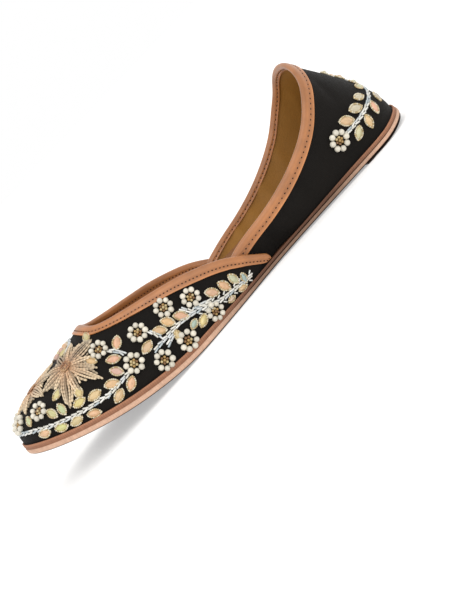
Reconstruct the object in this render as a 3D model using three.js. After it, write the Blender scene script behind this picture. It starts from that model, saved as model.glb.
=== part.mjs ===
// A woman's flat slip-on of the jutti or mojari kind, cut low at both sides of the waist.
// A vamp wraps the toes and a quarter wraps the heel. The quarter's front ends tuck inside the
// vamp's wings, and both stand on a leather sole whose toe turns up. A folded strip binds each topline,
// and inside, the quarter's lining turns in over the insole as two flaps tacked together at the waist.
//
// Millimetres. Stations run along +X from the heel's back to the toe, +Y is the wearer's left, +Z is up.
// The shoe is straight-lasted: its left and right halves mirror each other.

import * as THREE from "three";

// Driving dimensions, as a shoemaker would measure them
const LENGTH = 250;
const HEEL_WIDTH = 59;
const WAIST_WIDTH = 55;
const BALL_WIDTH = 76;
const TOE_SPRING = 23.5;
const HEEL_LIFT = 3.2; // the heel's back edge curls up a little
const BACK_HEIGHT = 62.3;
const THROAT_HEIGHT = 47.7;
const THROAT_END = 189.2; // station of the throat's front edge

const WALL = 1.6; // cloth over a leather lining
const BINDING = 0.8;
const BINDING_LEG = 4.9; // how far it reaches down each side of the wall
const FIT_GAP = 0.3; // between curved pieces that meet
const LAYER_GAP = 0.2; // between the sole's layers
const INSOLE = 1.2;
const SOCK = 0.8;
const FLAP = 0.9;
const BOTTOM_SHEET = 0.4;
const HEEL_TAP = 0.8;
const HEEL_TAP_END = 37;

// Where each layer's edge lies, inwards from the outsole's edge
const SHEET_INSET = 0.5;
const RAND_INSET = 0.5;
const VAMP_INSET = 1.7;
const QUARTER_TUCK = WALL + BINDING + 4 * FIT_GAP; // the quarter passes inside the vamp's binding
const TUCK_START = 78;
const TUCK_END = 97;
const QUARTER_FRONT = 141; // station where the quarter's front ends stop

const UP = new THREE.Vector3(0, 0, 1);

// Curves read from tables

// Smooth curve through a table's rows that never overshoots between two of them.
function tableCurve(rows, from, to) {
  const x = rows.map((row) => row[from]);
  const y = rows.map((row) => row[to]);
  const rise = x.slice(1).map((value, i) => (y[i + 1] - y[i]) / (value - x[i]));
  const slope = y.map((_, i) => {
    if (i === 0) return rise[0];
    if (i === y.length - 1) return rise[i - 1];
    if (rise[i - 1] * rise[i] <= 0) return 0;
    const before = x[i] - x[i - 1];
    const after = x[i + 1] - x[i];
    const w1 = 2 * after + before;
    const w2 = after + 2 * before;
    return (w1 + w2) / (w1 / rise[i - 1] + w2 / rise[i]);
  });
  return (at) => {
    const clamped = Math.min(Math.max(at, x[0]), x[x.length - 1]);
    let i = 0;
    while (i < x.length - 2 && clamped > x[i + 1]) i += 1;
    const span = x[i + 1] - x[i];
    const t = (clamped - x[i]) / span;
    const t2 = t * t;
    const t3 = t2 * t;
    return (
      (2 * t3 - 3 * t2 + 1) * y[i] +
      (t3 - 2 * t2 + t) * span * slope[i] +
      (3 * t2 - 2 * t3) * y[i + 1] +
      (t3 - t2) * span * slope[i + 1]
    );
  };
}

// Catmull-Rom value of one column at a fractional row number; it passes through every row.
function columnAt(rows, column, index) {
  const last = rows.length - 1;
  const i = Math.min(Math.max(Math.floor(index), 0), last - 1);
  const t = index - i;
  const value = (k) => {
    if (k < 0) return 2 * rows[0][column] - rows[1][column];
    if (k > last) return 2 * rows[last][column] - rows[last - 1][column];
    return rows[k][column];
  };
  const [a, b, c, d] = [value(i - 1), value(i), value(i + 1), value(i + 2)];
  return b + 0.5 * t * (c - a + t * (2 * a - 5 * b + 4 * c - d + t * (3 * (b - c) + d - a)));
}

const smoothStep = (from, to, at) => {
  const t = Math.min(Math.max((at - from) / (to - from), 0), 1);
  return t * t * (3 - 2 * t);
};

// The sole: outline, thickness and the line it stands on

const HALF_WIDTHS = [
  { station: 0, half: HEEL_WIDTH / 2 },
  { station: 0.14 * LENGTH, half: HEEL_WIDTH / 2 },
  { station: 0.39 * LENGTH, half: WAIST_WIDTH / 2 },
  { station: 0.54 * LENGTH, half: (0.46 * WAIST_WIDTH + 0.54 * BALL_WIDTH) / 2 },
  { station: 0.7 * LENGTH, half: BALL_WIDTH / 2 },
  { station: LENGTH, half: 0.95 * BALL_WIDTH / 2 },
];
const HEEL_ROUND = { depth: 30, fullness: 2.3 };
const TOE_ROUND = { depth: 62, fullness: 2.3 };

const widthCurve = tableCurve(HALF_WIDTHS, "station", "half");

// Share of the full width left at a distance in from a round end.
function roundEnd(distance, { depth, fullness }) {
  if (distance >= depth) return 1;
  const open = 1 - Math.max(distance, 0) / depth;
  return (1 - open ** fullness) ** (1 / fullness);
}

const soleHalfWidth = (s) =>
  widthCurve(s) * roundEnd(s, HEEL_ROUND) * roundEnd(LENGTH - s, TOE_ROUND);

const HEEL_FLAT_START = 22;
const BALL_START = 136; // the forefoot's flat, on the floor
const BALL_END = 155;
const SPRING_POWER = 1.77;
const LIFT_POWER = 1.6;
const SOLE_LINE = [
  { station: 0, height: HEEL_TAP + LAYER_GAP },
  { station: HEEL_TAP_END, height: HEEL_TAP + LAYER_GAP },
  { station: 80, height: 0.8 },
  { station: 112, height: 0.3 },
  { station: BALL_START, height: 0 },
];
const soleLineBehindBall = tableCurve(SOLE_LINE, "station", "height");
const heelLift = (s) => HEEL_LIFT * (Math.max(HEEL_FLAT_START - s, 0) / HEEL_FLAT_START) ** LIFT_POWER;
const toeSpring = (s) =>
  TOE_SPRING * (Math.max(s - BALL_END, 0) / (LENGTH - BALL_END)) ** SPRING_POWER;
const soleBottom = (s) => soleLineBehindBall(s) + heelLift(s) + toeSpring(s);

const LAYERS = [
  { station: 0, outsole: 1.4, rand: 1.5 },
  { station: 0.16 * LENGTH, outsole: 1.4, rand: 1.5 },
  { station: 0.42 * LENGTH, outsole: 1.2, rand: 1.4 },
  { station: 0.6 * LENGTH, outsole: 1.5, rand: 1.7 },
  { station: LENGTH, outsole: 1.7, rand: 2 },
];
const outsoleThickness = tableCurve(LAYERS, "station", "outsole");
const randThickness = tableCurve(LAYERS, "station", "rand");
const outsoleBottom = (s) => soleBottom(s) + BOTTOM_SHEET + LAYER_GAP;
const outsoleTop = (s) => outsoleBottom(s) + outsoleThickness(s);
const randBottom = (s) => outsoleTop(s) + LAYER_GAP;
const randTop = (s) => randBottom(s) + randThickness(s);
const featherHeight = (s) => randTop(s) + FIT_GAP;
const insoleTop = (s) => featherHeight(s) + INSOLE;
const sockTop = (s) => insoleTop(s) + LAYER_GAP + SOCK;

// The outsole's left edge as a chain of points from heel to toe, close together at the round ends
const EDGE_STEPS = 44;
const EDGE = Array.from({ length: EDGE_STEPS + 1 }, (_, i) => {
  const s = (LENGTH / 2) * (1 - Math.cos((Math.PI * i) / EDGE_STEPS));
  return new THREE.Vector2(s, i % EDGE_STEPS === 0 ? 0 : soleHalfWidth(s));
});

// Outward normal of the left edge at one of its points.
function edgeNormal(i) {
  if (i === 0) return new THREE.Vector2(-1, 0);
  if (i === EDGE_STEPS) return new THREE.Vector2(1, 0);
  const along = EDGE[i + 1].clone().sub(EDGE[i - 1]).normalize();
  return new THREE.Vector2(-along.y, along.x);
}
const EDGE_NORMALS = EDGE.map((_, i) => edgeNormal(i));

// Distance along the edge from the heel's back to each of its points
const EDGE_DISTANCE = EDGE.reduce((list, point, i) => {
  list.push(i === 0 ? 0 : list[i - 1] + point.distanceTo(EDGE[i - 1]));
  return list;
}, []);
const EDGE_LENGTH = EDGE_DISTANCE[EDGE_STEPS];

// Point on the edge a given distance from the heel's back, moved in by an inset, and its outward normal.
// A distance below 0 or past the toe lies on the other side of the shoe.
function edgeAt(distance, inset) {
  const flipped = distance < 0 || distance > EDGE_LENGTH;
  const along = distance > EDGE_LENGTH ? 2 * EDGE_LENGTH - distance : Math.abs(distance);
  let i = 0;
  while (i < EDGE_STEPS - 1 && EDGE_DISTANCE[i + 1] < along) i += 1;
  const t = (along - EDGE_DISTANCE[i]) / (EDGE_DISTANCE[i + 1] - EDGE_DISTANCE[i]);
  const point = EDGE[i].clone().lerp(EDGE[i + 1], t);
  const normal = EDGE_NORMALS[i].clone().lerp(EDGE_NORMALS[i + 1], t).normalize();
  point.addScaledVector(normal, -inset);
  if (flipped) {
    point.y *= -1;
    normal.y *= -1;
  }
  return { point, normal };
}

// Closed solids from points

// Gathers triangles over shared points and returns them as one geometry.
class SolidBuilder {
  constructor() {
    this.positions = [];
    this.triangles = [];
  }
  add(point) {
    this.positions.push(point.x, point.y, point.z);
    return this.positions.length / 3 - 1;
  }
  triangle(a, b, c) {
    if (a !== b && b !== c && c !== a) this.triangles.push(a, b, c);
  }
  quad(a, b, c, d) {
    this.triangle(a, b, c);
    this.triangle(a, c, d);
  }
  geometry() {
    const made = new THREE.BufferGeometry();
    made.setAttribute("position", new THREE.Float32BufferAttribute(this.positions, 3));
    made.setIndex(this.triangles);
    made.computeVertexNormals();
    return made;
  }
}

// A wall between two grids of the same size, closed round its four sides.
// face[i][j] looks outwards when i runs to the right and j up, and back lies behind it.
function wallSolid(face, back) {
  const solid = new SolidBuilder();
  const front = face.map((column) => column.map((point) => solid.add(point)));
  const rear = back.map((column) => column.map((point) => solid.add(point)));
  const last = front.length - 1;
  const top = front[0].length - 1;
  for (let i = 0; i < last; i += 1) {
    for (let j = 0; j < top; j += 1) {
      solid.quad(front[i][j], front[i + 1][j], front[i + 1][j + 1], front[i][j + 1]);
      solid.quad(rear[i][j], rear[i][j + 1], rear[i + 1][j + 1], rear[i + 1][j]);
    }
    solid.quad(front[i][0], rear[i][0], rear[i + 1][0], front[i + 1][0]);
    solid.quad(front[i][top], front[i + 1][top], rear[i + 1][top], rear[i][top]);
  }
  for (let j = 0; j < top; j += 1) {
    solid.quad(front[0][j], front[0][j + 1], rear[0][j + 1], rear[0][j]);
    solid.quad(front[last][j], rear[last][j], rear[last][j + 1], front[last][j + 1]);
  }
  return solid.geometry();
}

// A layer of the sole from loops stacked bottom to top. Each loop lists its points from one end of the
// shoe to the other along the left side; the right side mirrors it, and first and last lie on the axis.
function layerSolid(loops) {
  const solid = new SolidBuilder();
  const rings = loops.map((loop) => {
    const left = loop.map((point) => solid.add(point));
    const right = loop.map((point, i) =>
      i === 0 || i === loop.length - 1
        ? left[i]
        : solid.add(new THREE.Vector3(point.x, -point.y, point.z)),
    );
    return { left, right };
  });
  const steps = loops[0].length - 1;
  const bottom = rings[0];
  const top = rings[rings.length - 1];
  for (let i = 0; i < steps; i += 1) {
    solid.quad(top.right[i], top.right[i + 1], top.left[i + 1], top.left[i]);
    solid.quad(bottom.left[i], bottom.left[i + 1], bottom.right[i + 1], bottom.right[i]);
    for (let k = 0; k < rings.length - 1; k += 1) {
      const [low, high] = [rings[k], rings[k + 1]];
      solid.quad(low.left[i + 1], low.left[i], high.left[i], high.left[i + 1]);
      solid.quad(low.right[i], low.right[i + 1], high.right[i + 1], high.right[i]);
    }
  }
  return solid.geometry();
}

// A thin plate that follows a height, over a plan given as rows that cross it from one side to the other.
function plateSolid(rows, bottomAt, topAt) {
  const lift = (height) => (p) => new THREE.Vector3(p.x, p.y, height(p.x));
  return wallSolid(
    rows.map((row) => row.map(lift(topAt))),
    rows.map((row) => row.map(lift(bottomAt))),
  );
}

// Sole pieces

// Loop of the sole's edge at an inset, with its height read from a curve.
function edgeLoop(inset, heightAt) {
  return EDGE.map((_, i) => {
    const point = EDGE[i].clone().addScaledVector(EDGE_NORMALS[i], -inset);
    if (i === 0 || i === EDGE_STEPS) point.y = 0;
    return new THREE.Vector3(point.x, point.y, heightAt(point.x));
  });
}

const EDGE_ROUNDING = 0.35;

function bottomSheet() {
  return layerSolid([
    edgeLoop(SHEET_INSET, soleBottom),
    edgeLoop(SHEET_INSET, (s) => soleBottom(s) + BOTTOM_SHEET),
  ]);
}

function outsole() {
  return layerSolid([
    edgeLoop(EDGE_ROUNDING, outsoleBottom),
    edgeLoop(0, (s) => outsoleBottom(s) + EDGE_ROUNDING),
    edgeLoop(0, (s) => outsoleTop(s) - 0.4 * EDGE_ROUNDING),
    edgeLoop(0.4 * EDGE_ROUNDING, outsoleTop),
  ]);
}

function rand() {
  return layerSolid([
    edgeLoop(RAND_INSET, randBottom),
    edgeLoop(RAND_INSET, (s) => randTop(s) - EDGE_ROUNDING),
    edgeLoop(RAND_INSET + EDGE_ROUNDING, randTop),
  ]);
}

// How far the quarter has moved in at a station, and what that leaves of the floor between the walls.
const quarterTuck = (s) => QUARTER_TUCK * smoothStep(TUCK_START, TUCK_END, s);
const floorTuck = (s) =>
  quarterTuck(s + 5) * (1 - smoothStep(QUARTER_FRONT + 3, QUARTER_FRONT + 13, s));

// The left edge of what lies on the floor between the walls, a clearance away from them.
const floorEdge = (clearance) =>
  EDGE.map((point, i) => {
    const inset = VAMP_INSET + WALL + clearance + floorTuck(point.x);
    const moved = point.clone().addScaledVector(EDGE_NORMALS[i], -inset);
    if (i === 0 || i === EDGE_STEPS) moved.y = 0;
    return moved;
  });

function insole() {
  const edge = floorEdge(FIT_GAP + 0.2);
  const loop = (heightAt) => edge.map((p) => new THREE.Vector3(p.x, p.y, heightAt(p.x)));
  return layerSolid([loop(featherHeight), loop(insoleTop)]);
}

// The heel tap is the sole's outline cut off square at its front.
function heelTap() {
  const outline = EDGE.map((point, i) => point.clone().addScaledVector(EDGE_NORMALS[i], -SHEET_INSET));
  outline[0].y = 0;
  const kept = outline.filter((point) => point.x < HEEL_TAP_END - 1);
  const cut = new THREE.Vector2(HEEL_TAP_END, kept[kept.length - 1].y);
  const corners = [...kept, cut, new THREE.Vector2(HEEL_TAP_END, 0)];
  const loop = (height) =>
    corners.map((p) => new THREE.Vector3(p.x, p.y, heelLift(p.x) + height));
  return layerSolid([loop(0), loop(HEEL_TAP)]);
}

// The upper: two walls, each a fan of ribs from the feather edge to its topline

// Turns a half table into a whole one that mirrors about its centre row, the shoe's right side first.
function mirrorRows(half) {
  const right = half
    .slice(1)
    .reverse()
    .map((row) => ({ ...row, topY: -row.topY, edge: -row.edge }));
  return [...right, ...half];
}

// A curved wall. Each row of the table is one rib: where its top lies, how far along the sole's edge its
// foot lies from the centre (toe or heel), the outward lean of its foot and the slope it arrives with,
// and how far each end holds its direction, as a share of the rib's chord.
class CurvedWall {
  constructor(halfRows, centreDistance, towardsHeel, insetAt) {
    this.rows = mirrorRows(halfRows);
    if (!towardsHeel) this.rows.reverse(); // seen from outside, ribs run from left to right
    this.centreDistance = centreDistance;
    this.direction = towardsHeel ? -1 : 1;
    this.insetAt = insetAt;
  }

  // Control points of the rib at u, from 0 at the right front end to 1 at the left one.
  rib(u) {
    const index = u * (this.rows.length - 1);
    const read = (column) => columnAt(this.rows, column, index);
    const distance = this.centreDistance + this.direction * read("edge");
    const inset = this.insetAt(edgeAt(distance, 0).point.x);
    const { point, normal } = edgeAt(distance, inset);
    const foot = new THREE.Vector3(point.x, point.y, featherHeight(point.x));
    const top = new THREE.Vector3(read("topX"), read("topY"), read("topZ"));
    const chord = foot.distanceTo(top);
    const lean = THREE.MathUtils.degToRad(read("lean"));
    const leave = new THREE.Vector3(normal.x, normal.y, 0)
      .multiplyScalar(Math.sin(lean))
      .addScaledVector(UP, Math.cos(lean));
    const slope = THREE.MathUtils.degToRad(read("slope"));
    const inwards = new THREE.Vector3(top.x - foot.x, top.y - foot.y, 0).normalize();
    const arrive = inwards.multiplyScalar(Math.cos(slope)).addScaledVector(UP, Math.sin(slope));
    return new THREE.CubicBezierCurve3(
      foot,
      foot.clone().addScaledVector(leave, read("hold") * chord),
      top.clone().addScaledVector(arrive, -read("reach") * chord),
      top,
    );
  }

  point(u, t) {
    return this.rib(u).getPoint(t);
  }

  // Direction up the rib, and the wall's outward normal.
  frame(u, t) {
    const step = 1e-3;
    const up = this.rib(u).getTangent(t);
    const [before, after] = [Math.max(u - step, 0), Math.min(u + step, 1)];
    const along = this.point(after, t).sub(this.point(before, t));
    const normal = along.cross(up).normalize();
    return { up, normal };
  }

  // Rib parameters of the rows, from the foot to the top. The last two gaps share the binding's leg.
  levels(u, rows) {
    const rib = this.rib(u);
    const length = rib.getLength();
    const leg = Math.min(BINDING_LEG, length - 2 * FIT_GAP);
    const climb = Array.from(
      { length: rows - 1 },
      (_, j) => (length - leg) * (j / (rows - 2)) ** FOOT_CROWDING,
    );
    return [...climb, length - leg / 2, length].map((rise) => rib.getUtoTmapping(rise / length));
  }
}

const VAMP_ROWS = [
  { topX: THROAT_END, topY: 0, topZ: THROAT_HEIGHT, edge: 0, lean: 10, slope: 11, hold: 0.28, reach: 0.62 },
  { topX: 188.4, topY: 9.5, topZ: 46.8, edge: 17, lean: 10, slope: 12, hold: 0.28, reach: 0.58 },
  { topX: 185.4, topY: 17.2, topZ: 44.1, edge: 36, lean: 11, slope: 16, hold: 0.29, reach: 0.5 },
  { topX: 176.5, topY: 22, topZ: 41, edge: 56, lean: 13, slope: 28, hold: 0.31, reach: 0.41 },
  { topX: 162, topY: 26, topZ: 37, edge: 80, lean: 14, slope: 44, hold: 0.33, reach: 0.35 },
  { topX: 148, topY: 29.1, topZ: 33.1, edge: 101, lean: 14, slope: 58, hold: 0.33, reach: 0.33 },
  { topX: 136, topY: 31, topZ: 28.6, edge: 120, lean: 14, slope: 70, hold: 0.33, reach: 0.33 },
  { topX: 126, topY: 31.9, topZ: 24, edge: 136, lean: 14, slope: 78, hold: 0.33, reach: 0.33 },
  { topX: 117.5, topY: 31.6, topZ: 18.4, edge: 149, lean: 16, slope: 78, hold: 0.33, reach: 0.33 },
  { topX: 110, topY: 29.8, topZ: 12.2, edge: 158.5, lean: 16, slope: 76, hold: 0.33, reach: 0.33 },
  { topX: 103.5, topY: 27, topZ: 6.4, edge: 166, lean: 16, slope: 76, hold: 0.33, reach: 0.33 },
];

const QUARTER_ROWS = [
  { topX: 25, topY: 0, topZ: BACK_HEIGHT, edge: 0, lean: 12, slope: 58, hold: 0.26, reach: 0.33 },
  { topX: 25.4, topY: 9.5, topZ: 61.4, edge: 9.5, lean: 12, slope: 60, hold: 0.26, reach: 0.33 },
  { topX: 26.8, topY: 18.5, topZ: 58, edge: 19, lean: 12, slope: 66, hold: 0.27, reach: 0.33 },
  { topX: 30.4, topY: 26, topZ: 51.8, edge: 28.5, lean: 12, slope: 73, hold: 0.3, reach: 0.33 },
  { topX: 37, topY: 31, topZ: 45.4, edge: 38.5, lean: 12, slope: 79, hold: 0.33, reach: 0.33 },
  { topX: 47, topY: 33.6, topZ: 37.3, edge: 51, lean: 12, slope: 82, hold: 0.33, reach: 0.33 },
  { topX: 60, topY: 34.2, topZ: 30.6, edge: 66.5, lean: 13, slope: 82, hold: 0.33, reach: 0.33 },
  { topX: 75, topY: 33, topZ: 25.4, edge: 82, lean: 14, slope: 80, hold: 0.33, reach: 0.33 },
  { topX: 90, topY: 31, topZ: 22.2, edge: 97.5, lean: 16, slope: 78, hold: 0.33, reach: 0.33 },
  { topX: 101, topY: 28.7, topZ: 20.9, edge: 109, lean: 14, slope: 78, hold: 0.33, reach: 0.33 },
  { topX: 111, topY: 26.6, topZ: 19.4, edge: 120, lean: 9, slope: 82, hold: 0.33, reach: 0.33 },
  { topX: 121, topY: 26.8, topZ: 16.8, edge: 131, lean: 7, slope: 84, hold: 0.33, reach: 0.33 },
  { topX: 130, topY: 27.6, topZ: 13.2, edge: 140, lean: 6, slope: 84, hold: 0.33, reach: 0.33 },
  { topX: 138, topY: 28.4, topZ: 9.3, edge: 148, lean: 6, slope: 84, hold: 0.33, reach: 0.33 },
];

const vampWall = new CurvedWall(VAMP_ROWS, EDGE_LENGTH, true, () => VAMP_INSET);
const quarterWall = new CurvedWall(QUARTER_ROWS, 0, false, (s) => VAMP_INSET + quarterTuck(s));

const VAMP_GRID = [60, 11]; // columns along the topline, rows from the foot up
const QUARTER_GRID = [52, 9];
const FOOT_CROWDING = 1.2; // rows lie closer together towards the foot

// The wall's outside as a grid, and the same grid moved in by the wall's thickness. Its foot stays level.
function upperSolid(wall, columns, rows) {
  const outside = [];
  const inside = [];
  for (let i = 0; i <= columns; i += 1) {
    const u = i / columns;
    const outer = [];
    const inner = [];
    wall.levels(u, rows).forEach((t, j) => {
      const point = wall.point(u, t);
      const moved = point.clone().addScaledVector(wall.frame(u, t).normal, -WALL);
      if (j === 0) moved.z = point.z;
      outer.push(point);
      inner.push(moved);
    });
    outside.push(outer);
    inside.push(inner);
  }
  return wallSolid(outside, inside);
}

// The strip that folds over a topline: down the outside, round the edge and down the inside.
function bindingSolid(wall, columns, rows) {
  const face = [];
  const back = [];
  const turn = [0, 60, 120, 180].map(THREE.MathUtils.degToRad);
  for (let i = 0; i <= columns; i += 1) {
    const u = i / columns;
    const [low, middle] = wall.levels(u, rows).slice(-3);
    const { up, normal } = wall.frame(u, 1);
    const ridge = wall.point(u, 1).addScaledVector(normal, -WALL / 2);
    const path = (half) => {
      const beside = (t, side) =>
        wall.point(u, t).addScaledVector(wall.frame(u, t).normal, side * half - WALL / 2);
      const over = turn.map((angle) =>
        ridge
          .clone()
          .addScaledVector(normal, half * Math.cos(angle))
          .addScaledVector(up, half * Math.sin(angle)),
      );
      return [beside(low, 1), beside(middle, 1), ...over, beside(middle, -1), beside(low, -1)];
    };
    face.push(path(WALL / 2 + FIT_GAP + BINDING));
    back.push(path(WALL / 2 + FIT_GAP));
  }
  return wallSolid(face, back);
}

// Inside: two socks, the lining's flaps and the tack that joins them

const SOCK_CLEARANCE = 0.7; // from a wall's foot to a sock or flap
const FLOOR_EDGE = floorEdge(SOCK_CLEARANCE);
const FLOOR_START = FLOOR_EDGE[0].x;
const FLOOR_END = FLOOR_EDGE[EDGE_STEPS].x;

// Half the floor's width inside the walls.
function floorHalfWidth(s) {
  let i = 0;
  while (i < EDGE_STEPS - 1 && FLOOR_EDGE[i + 1].x < s) i += 1;
  const [a, b] = [FLOOR_EDGE[i], FLOOR_EDGE[i + 1]];
  return a.y + ((b.y - a.y) * (s - a.x)) / (b.x - a.x);
}

// A sock's plan between two stations, as rows across the shoe.
function sockRows(from, to, steps) {
  return Array.from({ length: steps + 1 }, (_, i) => {
    const t = 0.5 * (1 - Math.cos((Math.PI * i) / steps));
    const s = from + (to - from) * t;
    const half = floorHalfWidth(s);
    return [new THREE.Vector2(s, -half), new THREE.Vector2(s, half)];
  });
}

const SOCK_TRIM = 2; // its ends are cut straight this far inside the floor's round ends
const FORE_SOCK_START = 134;

const sock = (from, to, steps) =>
  plateSolid(sockRows(from, to, steps), (s) => insoleTop(s) + LAYER_GAP, sockTop);

const APEX = 100; // where the flaps meet at the waist
const FLAP_INNER = [
  { station: 22, half: 18.5 },
  { station: 40, half: 19.6 },
  { station: 70, half: 9.9 },
  { station: APEX, half: 0.5 },
  { station: 117, half: 8.6 },
  { station: 133, half: 17.2 },
  { station: 143, half: 22.6 },
];
const flapInner = tableCurve(FLAP_INNER, "station", "half");
const FLAP_CLEARANCE = 1.2; // beyond a sock's, to pass the quarter's binding
const FLAP_END_SKEW = 2; // the front end runs slightly back towards the wall

function flap(side) {
  const from = FLAP_INNER[0].station;
  const to = FLAP_INNER[FLAP_INNER.length - 1].station;
  const steps = 20;
  const across = 3;
  const rows = Array.from({ length: steps + 1 }, (_, i) => {
    const s = from + ((to - from) * i) / steps;
    const skew = FLAP_END_SKEW * smoothStep(to - 20, to, s);
    return Array.from({ length: across + 1 }, (_, k) => {
      const t = k / across;
      const x = s - skew * t;
      const y = (1 - t) * flapInner(s) + t * (floorHalfWidth(x) - FLAP_CLEARANCE);
      return new THREE.Vector2(x, side * y);
    });
  });
  if (side < 0) rows.reverse();
  return plateSolid(
    rows,
    (s) => sockTop(s) + LAYER_GAP,
    (s) => sockTop(s) + LAYER_GAP + FLAP,
  );
}

const TACK = { length: 8.5, width: 1.8, height: 1.1 };

function barTack() {
  const { length, width, height } = TACK;
  const outline = new THREE.Shape();
  outline.absarc(length / 2 - width / 2, 0, width / 2, -Math.PI / 2, Math.PI / 2, false);
  outline.absarc(-length / 2 + width / 2, 0, width / 2, Math.PI / 2, (3 * Math.PI) / 2, false);
  const bar = new THREE.ExtrudeGeometry(outline, {
    depth: height,
    bevelEnabled: false,
    curveSegments: 6,
  });
  bar.rotateZ(Math.PI / 2);
  return bar;
}

// Materials

const finish = (colour, roughness) =>
  new THREE.MeshStandardMaterial({ color: colour, roughness, metalness: 0 });

const outsoleLeather = finish(0xd9a882, 0.6);
const randLeather = finish(0xa8683f, 0.6);
const tapRubber = finish(0x241d1a, 0.8);
const liningLeather = finish(0x8a5c2c, 0.55);
const bindingLeather = finish(0xd18a5e, 0.5);
const blackCloth = finish(0x17151a, 0.75);
const insoleCloth = finish(0x14141c, 0.8);
const whiteThread = finish(0xf3eadc, 0.8);

// Assembly

function piece(name, geometry, material) {
  const mesh = new THREE.Mesh(geometry, material);
  mesh.name = name;
  return mesh;
}

const shoe = new THREE.Group();
shoe.add(piece("bottom_sheet", bottomSheet(), tapRubber));
shoe.add(piece("outsole", outsole(), outsoleLeather));
shoe.add(piece("rand", rand(), randLeather));
shoe.add(piece("heel_tap", heelTap(), tapRubber));
shoe.add(piece("insole", insole(), insoleCloth));
shoe.add(piece("heel_sock", sock(FLOOR_START + SOCK_TRIM, APEX + 6, 22), liningLeather));
shoe.add(piece("fore_sock", sock(FORE_SOCK_START, FLOOR_END - SOCK_TRIM, 26), liningLeather));
shoe.add(piece("flap_left", flap(1), liningLeather));
shoe.add(piece("flap_right", flap(-1), liningLeather));
shoe.add(piece("vamp", upperSolid(vampWall, ...VAMP_GRID), blackCloth));
shoe.add(piece("quarter", upperSolid(quarterWall, ...QUARTER_GRID), blackCloth));
shoe.add(piece("vamp_binding", bindingSolid(vampWall, ...VAMP_GRID), bindingLeather));
shoe.add(piece("quarter_binding", bindingSolid(quarterWall, ...QUARTER_GRID), bindingLeather));

const tack = piece("bar_tack", barTack(), whiteThread);
tack.position.set(APEX, 0, sockTop(APEX) + FLAP + 2 * LAYER_GAP);
shoe.add(tack);

// The origin is on the floor under the middle of the shoe's length.
const extent = new THREE.Box3().setFromObject(shoe);
shoe.position.x = -(extent.min.x + extent.max.x) / 2;

export default shoe;
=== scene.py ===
"""Looks of a black embroidered mojari: cloth, leather, stitches, beadwork and a plain stage.

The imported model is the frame. Copies of its curved pieces are smoothed and finished, and what a
maker adds by hand lies on them: stitched edgings, running stitches, pearls, stones and wire.

Lengths in the tables are millimetres. A station runs from the heel's back to the toe, out is the
distance from the middle line to either side, and up is the height over the floor. A turn is in
degrees, from the direction of the toe and upwards.
"""

import math
import random

import bpy
import numpy as np
from mathutils import Matrix, Vector
from mathutils.bvhtree import BVHTree
from mathutils.kdtree import KDTree


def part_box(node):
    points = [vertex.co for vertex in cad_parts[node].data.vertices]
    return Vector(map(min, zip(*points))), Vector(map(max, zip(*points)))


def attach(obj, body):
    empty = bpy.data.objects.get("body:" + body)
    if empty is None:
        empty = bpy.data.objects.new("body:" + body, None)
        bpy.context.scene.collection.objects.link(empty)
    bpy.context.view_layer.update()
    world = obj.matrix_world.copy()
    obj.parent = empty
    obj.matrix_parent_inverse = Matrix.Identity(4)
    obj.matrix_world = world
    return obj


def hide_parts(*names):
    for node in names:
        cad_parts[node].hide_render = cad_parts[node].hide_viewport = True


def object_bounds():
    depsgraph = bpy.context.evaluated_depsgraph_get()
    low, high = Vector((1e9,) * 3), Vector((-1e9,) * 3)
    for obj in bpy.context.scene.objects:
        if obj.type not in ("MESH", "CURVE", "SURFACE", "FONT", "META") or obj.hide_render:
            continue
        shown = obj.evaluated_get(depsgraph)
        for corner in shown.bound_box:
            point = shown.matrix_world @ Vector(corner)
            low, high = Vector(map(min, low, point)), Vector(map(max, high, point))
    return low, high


bl_info = {
    "name": "Mojari",
    "version": (1, 0, 0),
    "blender": (4, 5, 0),
    "location": "3D View > Sidebar > Mojari",
    "description": "Dresses a mojari shoe in cloth, leather, stitches and beadwork",
    "category": "Object",
}

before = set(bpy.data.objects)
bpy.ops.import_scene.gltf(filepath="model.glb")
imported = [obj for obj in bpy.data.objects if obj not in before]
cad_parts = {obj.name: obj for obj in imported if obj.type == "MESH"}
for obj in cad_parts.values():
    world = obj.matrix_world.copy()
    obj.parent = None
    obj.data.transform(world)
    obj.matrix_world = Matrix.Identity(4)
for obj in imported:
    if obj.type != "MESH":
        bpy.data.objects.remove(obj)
CAD_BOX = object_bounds()

MM = 0.001
HEEL_BACK = CAD_BOX[0].x
UP = Vector((0, 0, 1))
WAVE = 0.314  # a wave texture of scale 1 repeats after this length
COLOUR_MIX = {"output": 2, "data_type": "RGBA", "clamp_factor": True}  # a Mix node for colours
WAIST_DARKENING = (25, 60, 115, 155)  # stations where the sole's edge turns darker at the waist: where it starts, is full, fades and ends
WAIST_DARK_TINT = (0.37, 0.35, 0.33, 1)
TABLE_COLOUR = "#d9d8d6"


def place(station, out, up):
    """A point of the tables in the frame's metres."""
    return Vector((HEEL_BACK + station * MM, out * MM, up * MM))


# Colours and materials


def srgb(code):
    """Linear colour from an sRGB hex value."""
    parts = [int(code[i : i + 2], 16) / 255 for i in (1, 3, 5)]
    return [c / 12.92 if c <= 0.04045 else ((c + 0.055) / 1.055) ** 2.4 for c in parts]


def toned(colour, amount=1.0):
    """A linear colour made lighter or darker, with its alpha."""
    return (*(min(c * amount, 1.0) for c in colour[:3]), 1.0)


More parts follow.
